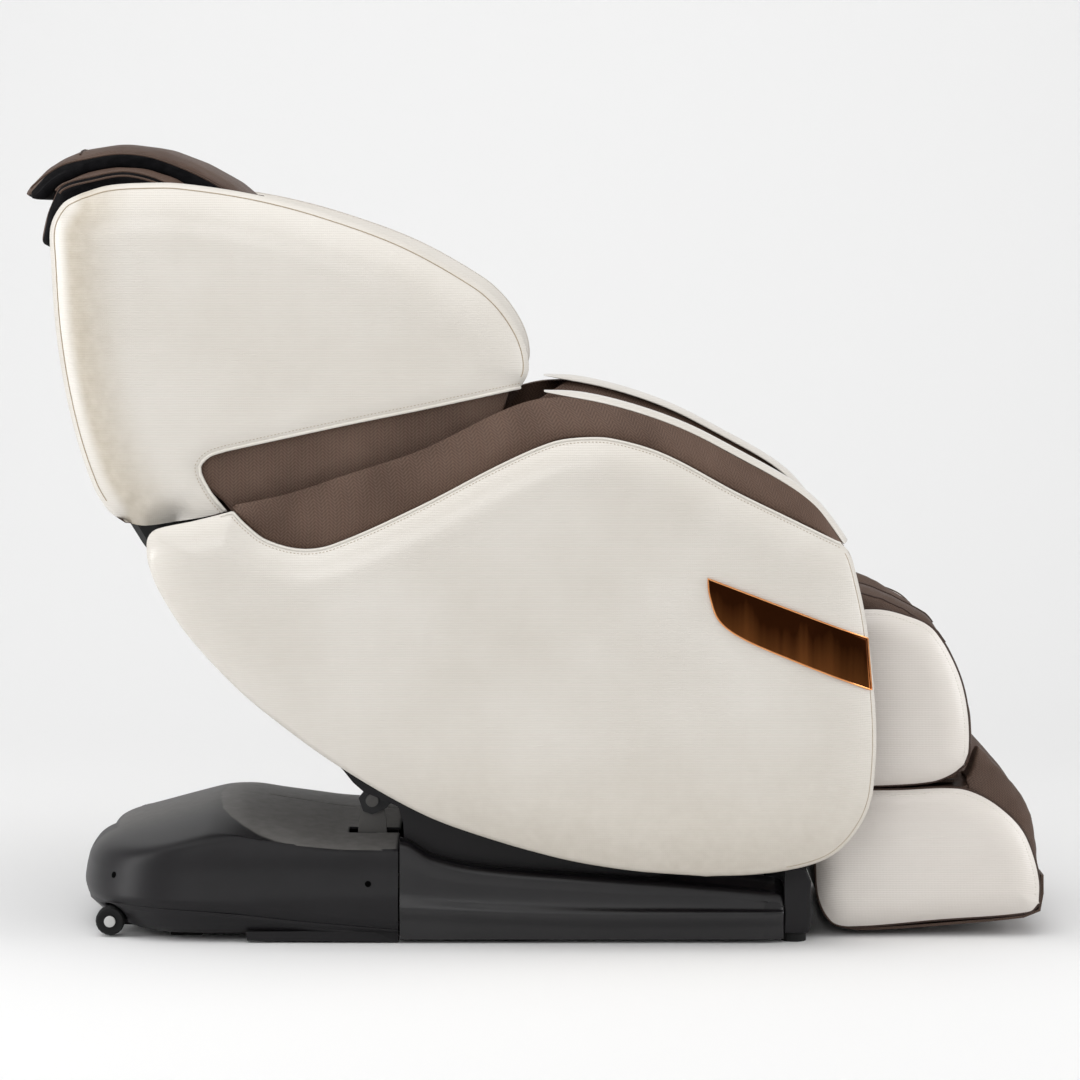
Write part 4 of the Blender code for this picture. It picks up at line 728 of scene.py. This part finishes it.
def stitches(name, points):
    """A row of single stitches along a line of points."""
    pitch, length, radius = 0.0055, 0.0034, 0.00055
    line = spaced(np.array(points), max(int(np.linalg.norm(np.diff(points, axis=0), axis=1).sum() / pitch), 2))
    deselect()
    bpy.ops.mesh.primitive_uv_sphere_add(segments=6, ring_count=4, radius=1.0)
    one = bpy.context.object
    shape = spots_of(one)
    faces = [tuple(f.vertices) for f in one.data.polygons]
    bpy.data.objects.remove(one, do_unlink=True)
    ahead = unit_rows(np.gradient(line, axis=0))
    across = unit_rows(np.cross(ahead, (0.0, 1.0, 0.0)))
    up = np.cross(across, ahead)
    corners, all_faces = [], []
    for k in range(len(line)):
        base = k * len(shape)
        spot = (line[k] + ahead[k] * shape[:, 2:3] * length / 2 + across[k] * shape[:, 0:1] * radius * 1.3
                + up[k] * shape[:, 1:2] * radius)
        corners.extend(map(tuple, spot))
        all_faces.extend(tuple(i + base for i in f) for f in faces)
    mesh = bpy.data.meshes.new(name)
    mesh.from_pydata(corners, [], all_faces)
    piece = bpy.data.objects.new(name, mesh)
    scene.collection.objects.link(piece)
    edit_all(piece, (bpy.ops.mesh.normals_make_consistent, {"inside": False}))
    return piece


def pillowed(flat, edges):
    """Half width of a padded panel: flat inside, rolled in near each (line, change, reach) edge."""
    def width(spots):
        total = np.zeros(len(spots))
        for line, change, reach in edges:
            near = np.clip(distance_from(spots, line) / reach, 0.0, 1.0)
            total += (change * (1.0 - near) ** 2.2) ** 3
        return flat - total ** (1.0 / 3.0)
    return width


def between(upper, lower, s, t):
    """Points (x, z) at s along two outlines of as many points and t of the way from lower to upper."""
    marks = np.linspace(0.0, 1.0, len(upper))
    high, low = (np.stack([np.interp(s, marks, line[:, k]) for k in (0, 1)], axis=1) for line in (upper, lower))
    return low + (high - low) * t[:, None]


def crowned_panel(name, upper, lower, columns, rows, width, wall, side, facing=None):
    """Stretch a padded panel between two outlines, turn its rim in and close it on a backing board."""
    def place(s, t):
        spots = between(upper, lower, s, t - 0.75 * np.sin(2 * np.pi * t) / (2 * np.pi))
        return np.stack([spots[:, 0], side * width(spots), spots[:, 1]], axis=1)

    facing = side if facing is None else facing
    piece = sheet_grid(name, columns, rows, place)
    face_away(piece, facing)
    take(piece)
    bpy.ops.object.mode_set(mode="EDIT")
    bpy.ops.mesh.select_mode(type="EDGE")
    bpy.ops.mesh.select_all(action="SELECT")
    bpy.ops.mesh.remove_doubles(threshold=0.0004)
    bpy.ops.mesh.region_to_loop()
    bpy.ops.mesh.extrude_edges_move(TRANSFORM_OT_translate={"value": (0.0, -facing * wall, 0.0)})
    bpy.ops.mesh.edge_face_add()
    bpy.ops.object.mode_set(mode="OBJECT")
    return piece


wing_rear = [(-0.618, 0.649), (-0.642, 0.664), (-0.668, 0.706), (-0.699, 0.805), (-0.720, 0.926),
             (-0.728, 1.047), (-0.728, 1.098), (-0.709, 1.132), (-0.682, 1.147)]
wing_top = [(-0.682, 1.147), (-0.641, 1.159), (-0.584, 1.163), (-0.530, 1.162), (-0.417, 1.145),
            (-0.311, 1.117), (-0.192, 1.073), (-0.085, 1.013), (-0.049, 0.982), (-0.022, 0.944),
            (-0.008, 0.909), (-0.006, 0.876), (-0.019, 0.852)]
wing_tongue = [(-0.618, 0.649), (-0.588, 0.644), (-0.504, 0.658), (-0.462, 0.668)]
wing_notch = [(-0.462, 0.668), (-0.486, 0.698), (-0.501, 0.733), (-0.488, 0.750), (-0.463, 0.759)]
wing_low = [(-0.463, 0.759), (-0.381, 0.777), (-0.274, 0.800), (-0.165, 0.822), (-0.071, 0.842),
            (-0.019, 0.852)]
wing_upper = np.concatenate([curve_through(wing_rear, 72), curve_through(wing_top, 144)[1:]])
wing_lower = np.concatenate([curve_through(wing_tongue, 40), curve_through(wing_notch, 40)[1:],
                             curve_through(wing_low, 136)[1:]])
wing_rim = spaced(wing_upper, 120)
wing_tail = spaced([(-0.618, 0.649), (-0.588, 0.644), (-0.540, 0.650)], 10)
wing_hem = spaced(wing_lower[40:], 60)
wing_shade_line = curve_through(wing_rear[1:-1], 40)
wing_half, arm_half = 0.345, 0.392
wing_width = pillowed(wing_half, [(wing_rim, 0.033, 0.085), (wing_tail, 0.033, 0.060), (wing_hem, 0.007, 0.030)])


def turned_in(width, rim, amount):
    """A half width whose edge along the rim turns over a little more sharply."""
    return lambda spots: width(spots) - amount * np.clip(1.0 - distance_from(spots, rim) / 0.009, 0.0, 1.0) ** 2


wing_face = turned_in(wing_width, wing_rim, 0.005)
for label, side in both_sides:
    wing = crowned_panel("wing_skin_" + label, wing_upper, wing_lower, 200, 56, wing_face, 0.009, side)
    dress(wing, ivory_shaded, "back", ["wing_panel_" + label], 50.0)
    # Painted shade: a darker beige band runs a little inside the wing's rear rim. It stands in for the shade where
    # the padded face turns away from the light.
    inside = distance_from(spots_of(wing)[:, [0, 2]], wing_shade_line)
    fading = np.clip((0.120 - inside) / 0.085, 0.0, 1.0)
    mark_mesh(wing, "painted_shade", 0.90 * np.clip((inside - 0.014) / 0.020, 0.0, 1.0) * fading)
    hem = laid_on(wing, offset_line(wing_lower[40:], 0.0022), side, 0.0010, 200)
    dress(round_cord("wing_piping_" + label, hem, 0.0026), ivory_trim, "back")
    sewn = laid_on(wing, offset_line(wing_lower[40:], 0.0085), side, 0.0002, 300)
    dress(stitches("wing_stitches_" + label, sewn), thread, "back")
    inset = offset_line(wing_upper, -0.0085)[6:-3]
    welt = laid_on(wing, inset, side, 0.0001, 320)
    dress(round_cord("wing_welt_" + label, welt, 0.0009), welt_thread_and_shadow, "back")

# ------------------------------------------------------------------ arm shells
# The big lower side shells in the same leatherette. Piping and stitches run along their upper edge,
# against the brown band, and a fine seam follows the front edge.
arm_rear_top = [(-0.582, 0.610), (-0.579, 0.630), (-0.568, 0.642), (-0.510, 0.655), (-0.450, 0.670)]
arm_band_edge = [(-0.450, 0.670), (-0.431, 0.650), (-0.401, 0.627), (-0.348, 0.613), (-0.300, 0.620),
                 (-0.169, 0.678), (-0.047, 0.741), (0.030, 0.774), (0.076, 0.781), (0.122, 0.779),
                 (0.199, 0.756), (0.307, 0.699), (0.391, 0.658), (0.465, 0.622)]
arm_bottom = [(-0.582, 0.610), (-0.579, 0.590), (-0.566, 0.554), (-0.523, 0.485), (-0.450, 0.404),
              (-0.389, 0.352), (-0.305, 0.290), (-0.203, 0.228), (-0.123, 0.191), (0.031, 0.144),
              (0.148, 0.123), (0.264, 0.114)]
arm_front = [(0.264, 0.114), (0.341, 0.117), (0.406, 0.127), (0.449, 0.142), (0.476, 0.163),
             (0.497, 0.191), (0.510, 0.218), (0.517, 0.249), (0.521, 0.322), (0.517, 0.397),
             (0.505, 0.499), (0.492, 0.562), (0.479, 0.606), (0.465, 0.622)]
arm_upper = np.concatenate([curve_through(arm_rear_top, 32), curve_through(arm_band_edge, 160)[1:]])
arm_lower = np.concatenate([curve_through(arm_bottom, 112), curve_through(arm_front, 80)[1:]])
arm_below = spaced(arm_lower, 120)
arm_above = spaced(arm_upper, 120)
arm_width = pillowed(arm_half, [(arm_below, 0.027, 0.085), (arm_above, 0.022, 0.060)])
arm_face = turned_in(arm_width, arm_below, 0.004)
for label, side in both_sides:
    arm = crowned_panel("arm_skin_" + label, arm_upper, arm_lower, 180, 60, arm_face, 0.010, side)
    dress(arm, ivory_shaded, "seat", ["arm_shell_" + label], 50.0)
    # Painted shade: the arm's ivory turns beige towards its bottom, standing in for the shade on its lower part.
    heights = np.array([v.co.z for v in arm.data.vertices])
    mark_mesh(arm, "painted_shade", 0.55 * np.clip((0.42 - heights) / 0.30, 0.0, 1.0))
    arm.data.materials.append(base_black)
    for face in arm.data.polygons:
        face.material_index = int(face.normal.y * side < -0.7)
    edge = laid_on(arm, offset_line(arm_upper[28:], -0.0018), side, 0.0006, 240)
    dress(round_cord("arm_piping_" + label, edge, 0.0021), ivory_trim, "seat")
    sewn = laid_on(arm, offset_line(arm_upper[33:], -0.0068), side, 0.0002, 320)
    dress(stitches("arm_stitches_" + label, sewn), thread, "seat")
    front = laid_on(arm, offset_line(arm_lower[126:-2], 0.0065), side, 0.0001, 120)
    dress(round_cord("arm_front_seam_" + label, front, 0.0007), thread, "seat")


# ------------------------------------------------------------------ brown leatherette
# Brown synthetic leather with a pressed herringbone weave: the arm bands, the skirts between the
# wings and the arms, the linings, and plainer on the leg rest.
def brown_weave(name, dark, light, step):
    """Brown leatherette with a herringbone emboss in the side view."""
    roughness = 0.50
    material, shader, tree = finish(name, roughness, 0.22)
    place = axes(tree)
    along = arithmetic(tree, "ADD", place["X"], place["Y"])
    slant = arithmetic(tree, "ADD", place["Z"], arithmetic(tree, "PINGPONG", along, step * 2.0))
    weave = plus(tree, wave(tree, slant, step), wave(tree, along, step * 1.1), 0.4)
    relief(tree, shader, arithmetic(tree, "ADD", weave, grain(tree, 1100.0, 2.0)), 0.00022, 0.6)
    tint = plus(tree, scaled(tree, weave, 0.16), grain(tree, 9.0, 4.0), 0.9)
    colour_by(tree, shader, tint, dark, light, 0.15, 0.75)
    rough_by(tree, shader, grain(tree, 14.0, 3.0), roughness - 0.07, roughness + 0.10)
    return material


brown = brown_weave("brown_leatherette", (0.074, 0.043, 0.030), (0.158, 0.100, 0.074), 0.0052)
brown_soft = brown_weave("brown_padding", (0.062, 0.038, 0.028), (0.120, 0.077, 0.058), 0.0040)
brown_trim = brown_weave("brown_piping", (0.045, 0.027, 0.021), (0.075, 0.047, 0.036), 0.0014)

arm_crease = [(-0.452, 0.678), (-0.370, 0.695), (-0.278, 0.725), (-0.169, 0.761), (-0.062, 0.813),
              (-0.018, 0.831), (0.018, 0.839), (0.058, 0.840)]
arm_top_line = [(0.018, 0.839), (0.058, 0.840), (0.138, 0.823), (0.230, 0.791), (0.307, 0.751),
                (0.392, 0.704), (0.434, 0.670), (0.471, 0.617)]
band_upper = np.concatenate([curve_through(arm_crease, 80)[:-4], curve_through(arm_top_line, 90)[4:]])
band_upper = spaced(band_upper, 160)
band_lower = curve_through(arm_band_edge, 160) - np.array([0.0, 0.006])
band_lower[0], band_lower[-1] = band_upper[0], band_upper[-1]
for label, side in both_sides:
    def band_place(s, t):
        """From tucked behind the arm shell's edge up to the crease or the top strip."""
        spots = between(band_upper, band_lower, s, t)
        top = np.clip(0.3525 - 0.0175 * (spots[:, 0] + 0.10) / 0.12, 0.335, 0.3525)
        foot = np.minimum(0.3578, arm_width(spots) - 0.0142)
        bulge = 0.0035 * np.sin(np.pi * np.clip(t, 0, 1)) * np.clip(t * 3, 0, 1)
        wide = foot + (top - foot) * t ** 1.5 + bulge
        return np.stack([spots[:, 0], side * wide, spots[:, 1]], axis=1)

    band = sheet_grid("arm_band_skin_" + label, 160, 20, band_place)
    face_away(band, side)
    modify(band, "SOLIDIFY", thickness=0.004, offset=-1.0)
    dress(band, brown, "seat", ["arm_band_" + label], 50.0)

lining_hem = [(-0.504, 0.658), (-0.446, 0.656), (-0.361, 0.666), (-0.269, 0.696), (-0.160, 0.735),
              (-0.062, 0.785), (-0.019, 0.852)]
lining_lower = np.concatenate([curve_through(wing_tongue[:3], 40), curve_through(lining_hem, 160)[1:]])
lining_upper = np.concatenate([curve_through(wing_rear, 72), curve_through(wing_top, 128)[1:]])
hem_edge = spaced([(-0.486, 0.664)] + lining_hem[1:-1] + [(-0.090, 0.771)], 40)
lining_half = 0.2495
hollow = pillowed(lining_half, [(wing_rim, 0.052, 0.050), (wing_tail, 0.052, 0.050), (hem_edge, 0.071, 0.045)])


def lining_face(spots):
    """The lining's half width: flat beside the cushion, running out to the wing's rim."""
    return 2.0 * lining_half - hollow(spots)


for label, side in both_sides:
    lining = crowned_panel("wing_lining_skin_" + label, lining_upper, lining_lower, 160, 48, lining_face, 0.0030,
                           side, -side)
    dress(lining, brown, "back", ["wing_lining_" + label], 50.0)
    lining.data.materials.append(ivory)
    centres = np.array([face.center for face in lining.data.polygons])
    near_rim = distance_from(centres[:, [0, 2]], wing_rim) < 0.0165
    for face, turned in zip(lining.data.polygons, near_rim):
        face.material_index = int(turned)
for label in ("left", "right"):
    for part, body in (("wing_skirt_", "back"), ("arm_lining_", "seat")):
        lining = copy_of(part + label, part + label + "_skin")
        crease_sharp(lining, 40.0, 0.8)
        modify(lining, "SUBSURF", levels=2, render_levels=2)
        dress(lining, brown, body, [part + label], 50.0)
    strip = copy_of("arm_top_" + label, "arm_top_skin_" + label)
    spots = spots_of(strip)
    thinned = spots.copy()
    taper = np.clip((spots[:, 0] - spots[:, 0].min()) / 0.024, 0.15, 1.0)
    for k, spot in enumerate(spots):
        level = spots[np.abs(spots[:, 0] - spot[0]) < 0.004, 2].max()
        thinned[k, 2] = level + (spot[2] - level) * taper[k]
    move_to(strip, thinned)
    crease_sharp(strip, 50.0, 0.6)
    modify(strip, "SUBSURF", levels=2, render_levels=2)
    dress(strip, ivory, "seat", ["arm_top_" + label], 50.0)


# ------------------------------------------------------------------ badge plates
# A bare curved plate in smoked copper with a raised bright copper rim, pressed onto each arm's
# front corner.
def smoked_plate():
    """Smoked glossy copper: a dark tinted mirror, redder towards its lower edge, with soft streaks."""
    material, shader, tree = finish("badge_smoked_copper", 0.12, Metallic=1.0)
    place = axes(tree)
    depth = scaled(tree, arithmetic(tree, "SUBTRACT", 0.645, plus(tree, place["Z"], place["X"], 0.39)), 11.0)
    cloud = plus(tree, scaled(tree, grain(tree, 9.0, 2.0, (6.0, 1.0, 0.25)), 0.55), depth, 0.6)
    colour_by(tree, shader, cloud, (0.036, 0.010, 0.003), (0.270, 0.095, 0.026), 0.22, 0.95)
    rough_by(tree, shader, grain(tree, 60.0, 3.0), 0.08, 0.16)
    return material


smoked_copper = smoked_plate()
copper_rim = speckled("badge_copper_rim", 0.2, 40.0, (0.80, 0.32, 0.11), (0.92, 0.42, 0.17), 120.0, (0.16, 0.30),
                      Metallic=1.0)
badge_line = np.concatenate([spaced([(0.263, 0.571), (0.507, 0.478)], 60),
                             spaced([(0.507, 0.478), (0.5135, 0.400)], 16)[1:],
                             curve_through([(0.263, 0.571), (0.266, 0.545), (0.280, 0.508), (0.313, 0.482),
                                            (0.392, 0.447), (0.514, 0.399)], 70)[::-1][1:-1]])
badge_inner = badge_line + (np.array([0.385, 0.485]) - badge_line) * 0.006
for label, side in both_sides:
    plate = copy_of("badge_" + label, "badge_plate_" + label)
    crease_sharp(plate, 50.0)
    modify(plate, "SUBSURF", levels=2, render_levels=2)
    dress(plate, smoked_copper, "seat", ["badge_" + label], 40.0)
    rim = [(x, side * (w + 0.0028), z) for (x, z), w in zip(badge_inner, arm_width(badge_inner))]
    dress(round_cord("badge_rim_" + label, rim, 0.0013, True), copper_rim, "seat")


# ------------------------------------------------------------------ gloss control strip
# A glossy black moulded strip on the inner face of the left arm, with one round key that is pressed in. The
# rocker switch in the rear recess has the same gloss.
gloss = speckled("control_gloss_black", 0.08, 20.0, (0.006, 0.006, 0.007), (0.010, 0.010, 0.011), 60.0, (0.05, 0.12))
repaint(["control_panel", "power_switch"], gloss)
repaint(["control_key"], case_grey)

# ------------------------------------------------------------------ leg rest side panels
# Crowned panels of ivory leatherette over foam on a moulded board, clipped to both sides of the calf and foot
# sections. The sections' backs are brown casings in soft leatherette.
leg_half = 0.262
calf_top = [(0.430, 0.480), (0.446, 0.503), (0.509, 0.510), (0.543, 0.509), (0.580, 0.499), (0.606, 0.488),
            (0.623, 0.473), (0.645, 0.438), (0.663, 0.394), (0.673, 0.342), (0.674, 0.290), (0.667, 0.268)]
calf_low = [(0.430, 0.480), (0.428, 0.360), (0.428, 0.250), (0.440, 0.235), (0.529, 0.235), (0.616, 0.241),
            (0.648, 0.253), (0.667, 0.268)]
foot_top = [(0.446, 0.214), (0.470, 0.226), (0.574, 0.230), (0.657, 0.232), (0.697, 0.219), (0.734, 0.193),
            (0.759, 0.165), (0.775, 0.129), (0.785, 0.087), (0.785, 0.052)]
foot_low = [(0.446, 0.214), (0.438, 0.180), (0.438, 0.115), (0.443, 0.059), (0.463, 0.023), (0.492, 0.015),
            (0.631, 0.026), (0.770, 0.038), (0.785, 0.052)]
leg_forms = {}
for part, high, low in (("calf", calf_top, calf_low), ("foot", foot_top, foot_low)):
    upper, lower = curve_through(high, 120), curve_through(low, 120)
    rim = spaced(np.concatenate([upper, lower[::-1]]), 160)
    leg_width = pillowed(leg_half, [(rim, 0.020, 0.045)])
    leg_forms[part] = (upper, lower, leg_width)
    for label, side in both_sides:
        panel = crowned_panel(part + "_side_skin_" + label, upper, lower, 120, 44, leg_width, 0.0075, side)
        dress(panel, ivory_leg, part, [part + "_side_" + label], 50.0)

for part in ("calf", "foot"):
    casing = copy_of(part + "_shell", part + "_shell_skin")
    crease_sharp(casing, 40.0, 0.9)
    dress(casing, brown_soft, part, [part + "_shell"], 50.0)

# ------------------------------------------------------------------ padded cushions
# Foam pads in sewn covers. The seat, back and leg wells are soft brown leatherette; the sides of the back
# cushion and of the head pillow are black spacer mesh, edged with brown piping.
def stuffed(label, name, body, up, cap):
    """Blow up a copy of a CAD pad as a sewn cover over foam; up is the way its soft side looks."""
    pad = copy_of(label, name)
    modify(pad, "REMESH", mode="VOXEL", voxel_size=0.0075)
    modify(pad, "SMOOTH", factor=0.5, iterations=3)
    start = spots_of(pad)
    look = np.array(up) / np.linalg.norm(up)
    normals = np.array([v.normal for v in pad.data.vertices])
    held = pad.vertex_groups.new(name="board")
    for i in np.nonzero(normals @ look < -0.15)[0]:
        held.add([int(i)], 1.0, "REPLACE")
    cloth = pad.modifiers.new("cloth", "CLOTH")
    set_all(cloth.settings, quality=5, mass=0.3, tension_stiffness=12.0, compression_stiffness=12.0,
            shear_stiffness=5.0, bending_stiffness=0.4, shrink_min=-0.02, use_pressure=True,
            uniform_pressure_force=4.0, vertex_group_mass="board")
    cloth.settings.effector_weights.gravity = 0.0
    cloth.collision_settings.use_collision = False
    set_all(cloth.point_cache, frame_start=1, frame_end=20)
    for moment in range(1, 21):
        scene.frame_set(moment)
    apply_all(pad)
    scene.frame_set(1)
    moved = spots_of(pad) - start
    reach = np.maximum(np.linalg.norm(moved, axis=1), 1e-9)
    moved *= np.minimum(1.0, cap / reach)[:, None]
    move_to(pad, start + moved)
    pad.vertex_groups.clear()
    modify(pad, "SUBSURF", levels=1, render_levels=1)
    dress(pad, brown_soft, body, [label], 70.0)
    return pad


seat_pad = stuffed("seat_cushion", "seat_cushion_stuffed", "seat", (0.0, 0.0, 1.0), 0.010)
calf_wells = stuffed("calf_pad", "calf_pad_stuffed", "calf", (0.8, 0.0, 0.6), 0.006)
spots = spots_of(calf_wells)
sink = np.clip((spots[:, 2] - 0.465) / 0.070, 0.0, 1.0)
spots[:, 2] -= 0.017 * sink * sink * (3.0 - 2.0 * sink)
move_to(calf_wells, spots)
foot_wells = stuffed("foot_pad", "foot_pad_stuffed", "foot", (0.8, 0.0, 0.6), 0.006)
spots = spots_of(foot_wells)
drawn = np.clip((spots[:, 2] - 0.090) / 0.060, 0.0, 1.0) * np.clip((0.300 - spots[:, 2]) / 0.050, 0.0, 1.0)
spots[:, 0] -= 0.009 * drawn * (spots[:, 0] > 0.680)
move_to(foot_wells, spots)
back_cushion = stuffed("back_pad", "back_pad_stuffed", "back", (0.8, 0.0, 0.6), 0.007)
pillow = stuffed("headrest_pillow", "headrest_pillow_stuffed", "pillow", (0.4, 0.0, 0.9), 0.006)
pillow_line = curve_through([(-0.350, 0.960), (-0.358, 1.020), (-0.402, 1.100), (-0.474, 1.166), (-0.572, 1.211),
                             (-0.632, 1.220), (-0.689, 1.212), (-0.732, 1.200), (-0.775, 1.170),
                             (-0.795, 1.144)], 80)
cushion_line = curve_through([(-0.135, 0.515), (-0.175, 0.590), (-0.262, 0.705), (-0.362, 0.862), (-0.430, 1.020),
                              (-0.485, 1.105), (-0.545, 1.163), (-0.612, 1.186), (-0.667, 1.180),
                              (-0.730, 1.157), (-0.757, 1.071)], 120)
brown_and_mesh = marked_blend(brown_soft, "brown_with_mesh_sides", "mesh_side", (0.0015, 0.0015, 0.0020),
                              (0.0060, 0.0055, 0.0065), (0.50, 0.95))
brown_and_mesh.node_tree.nodes["Principled BSDF"].inputs["Specular IOR Level"].default_value = 0.12
for pad, line, half, lip in ((back_cushion, cushion_line, 0.245, 0.005), (pillow, pillow_line, 0.190, 0.010)):
    pad.data.materials.clear()
    pad.data.materials.append(brown_and_mesh)
    spots = spots_of(pad)
    normals = np.array([v.normal for v in pad.data.vertices])
    depth = distance_from(spots[:, [0, 2]], line)
    sideways = np.clip((np.abs(spots[:, 1]) - (half - 0.034)) / 0.006, 0.0, 1.0)
    under = np.clip((-normals[:, 2] - 0.2) * 4.0, 0.0, 1.0) * (spots[:, 0] < -0.60)
    mark_mesh(pad, "mesh_side", np.maximum(sideways, under) * np.clip(0.5 + (depth - lip) / 0.006, 0.0, 1.0))
for label, side in both_sides:
    for tag, drop in (("outer", 0.0055), ("inner", 0.0125)):
        cord = [(x, side * 0.2460, z) for x, z in offset_line(cushion_line, drop)[30:-10]]
        dress(round_cord("back_piping_" + tag + "_" + label, cord, 0.0017), brown_soft, "back")
    cord = [(x, side * 0.1875, z) for x, z in offset_line(pillow_line, 0.0115)[8:-3]]
    dress(round_cord("pillow_piping_" + label, cord, 0.0014), brown_soft, "pillow")


def sewn_on(piece, starts, direction, lift):
    """Drop points onto a piece along a direction."""
    aim = Vector(direction).normalized()
    return cast_on(piece, [Vector(start) - aim * 0.25 for start in starts], aim, lift)


def side_to_side(x, z, reach, count):
    """A level row of points across the chair."""
    return [(x, y, z) for y in np.linspace(-reach, reach, count)]


down, into_back, into_pillow = (0, 0, -1), (-0.86, 0, -0.5), (-0.5, 0, -0.86)
seams = [(seat_pad, "seat", "seat", side_to_side(-0.060, 0.500, 0.225, 60), down),
         (seat_pad, "seat", "seat_front", side_to_side(0.330, 0.500, 0.225, 60), down)]
for label, side in both_sides[::-1]:
    seams.append((seat_pad, "seat", "seat_" + label,
                  [(x, side * 0.222, 0.500) for x in np.linspace(-0.060, 0.330, 60)], down))
for label, side in both_sides[::-1]:
    seams.append((back_cushion, "back", "back_" + label,
                  [(x, side * 0.105, 0.5 + (-0.15 - x) * 1.55) for x in np.linspace(-0.170, -0.480, 90)], into_back))
seams += [(pillow, "pillow", "pillow_front", side_to_side(-0.430, 1.160, 0.165, 50), into_pillow),
          (pillow, "pillow", "pillow_rear", side_to_side(-0.700, 1.230, 0.150, 50), down)]
for pad, body, name, starts, direction in seams:
    seam = sewn_on(pad, starts, direction, 0.0006)
    if len(seam) > 4:
        dress(round_cord(name + "_seam", seam, 0.0016), brown_trim, body)
        beside = [point + np.array([0.006, 0.0, 0.0]) for point in seam]
        dress(stitches(name + "_stitches", beside), brown_trim, body)

# ------------------------------------------------------------------ leg rest trim
# Brown piping is sewn round each ivory panel, with a row of stitches along its top. Rolled tucks gather the soft
# brown cover of the calf wells where it shows above the panel.
for part, (upper, lower, leg_width) in leg_forms.items():
    for label, side in both_sides:
        ring = np.concatenate([upper, lower[::-1][1:-1]])
        flat = offset_line(ring, -0.0006)
        wide = leg_width(flat)
        cord = [(x, side * (w - 0.0022), z) for (x, z), w in zip(flat, wide)]
        dress(round_cord(part + "_panel_piping_" + label, cord, 0.0027, True), brown_trim, part)
        line = offset_line(upper, -0.0075)[4:-4]
        sewn = [(x, side * (w + 0.0002), z) for (x, z), w in zip(line, leg_width(line))]
        dress(stitches(part + "_panel_stitches_" + label, sewn), ivory_trim, part)

for k, y in enumerate((-0.226, -0.150, 0.000, 0.150, 0.226)):
    ridge = sewn_on(calf_wells, [(0.490 + 0.0035 * n, y, 0.545 - 0.0018 * n) for n in range(44)],
                    (-0.30, 0.0, -0.95), 0.0004)
    if len(ridge) > 4:
        dress(round_cord("calf_tuck_" + str(k), ridge, 0.0017), brown_trim, "calf")
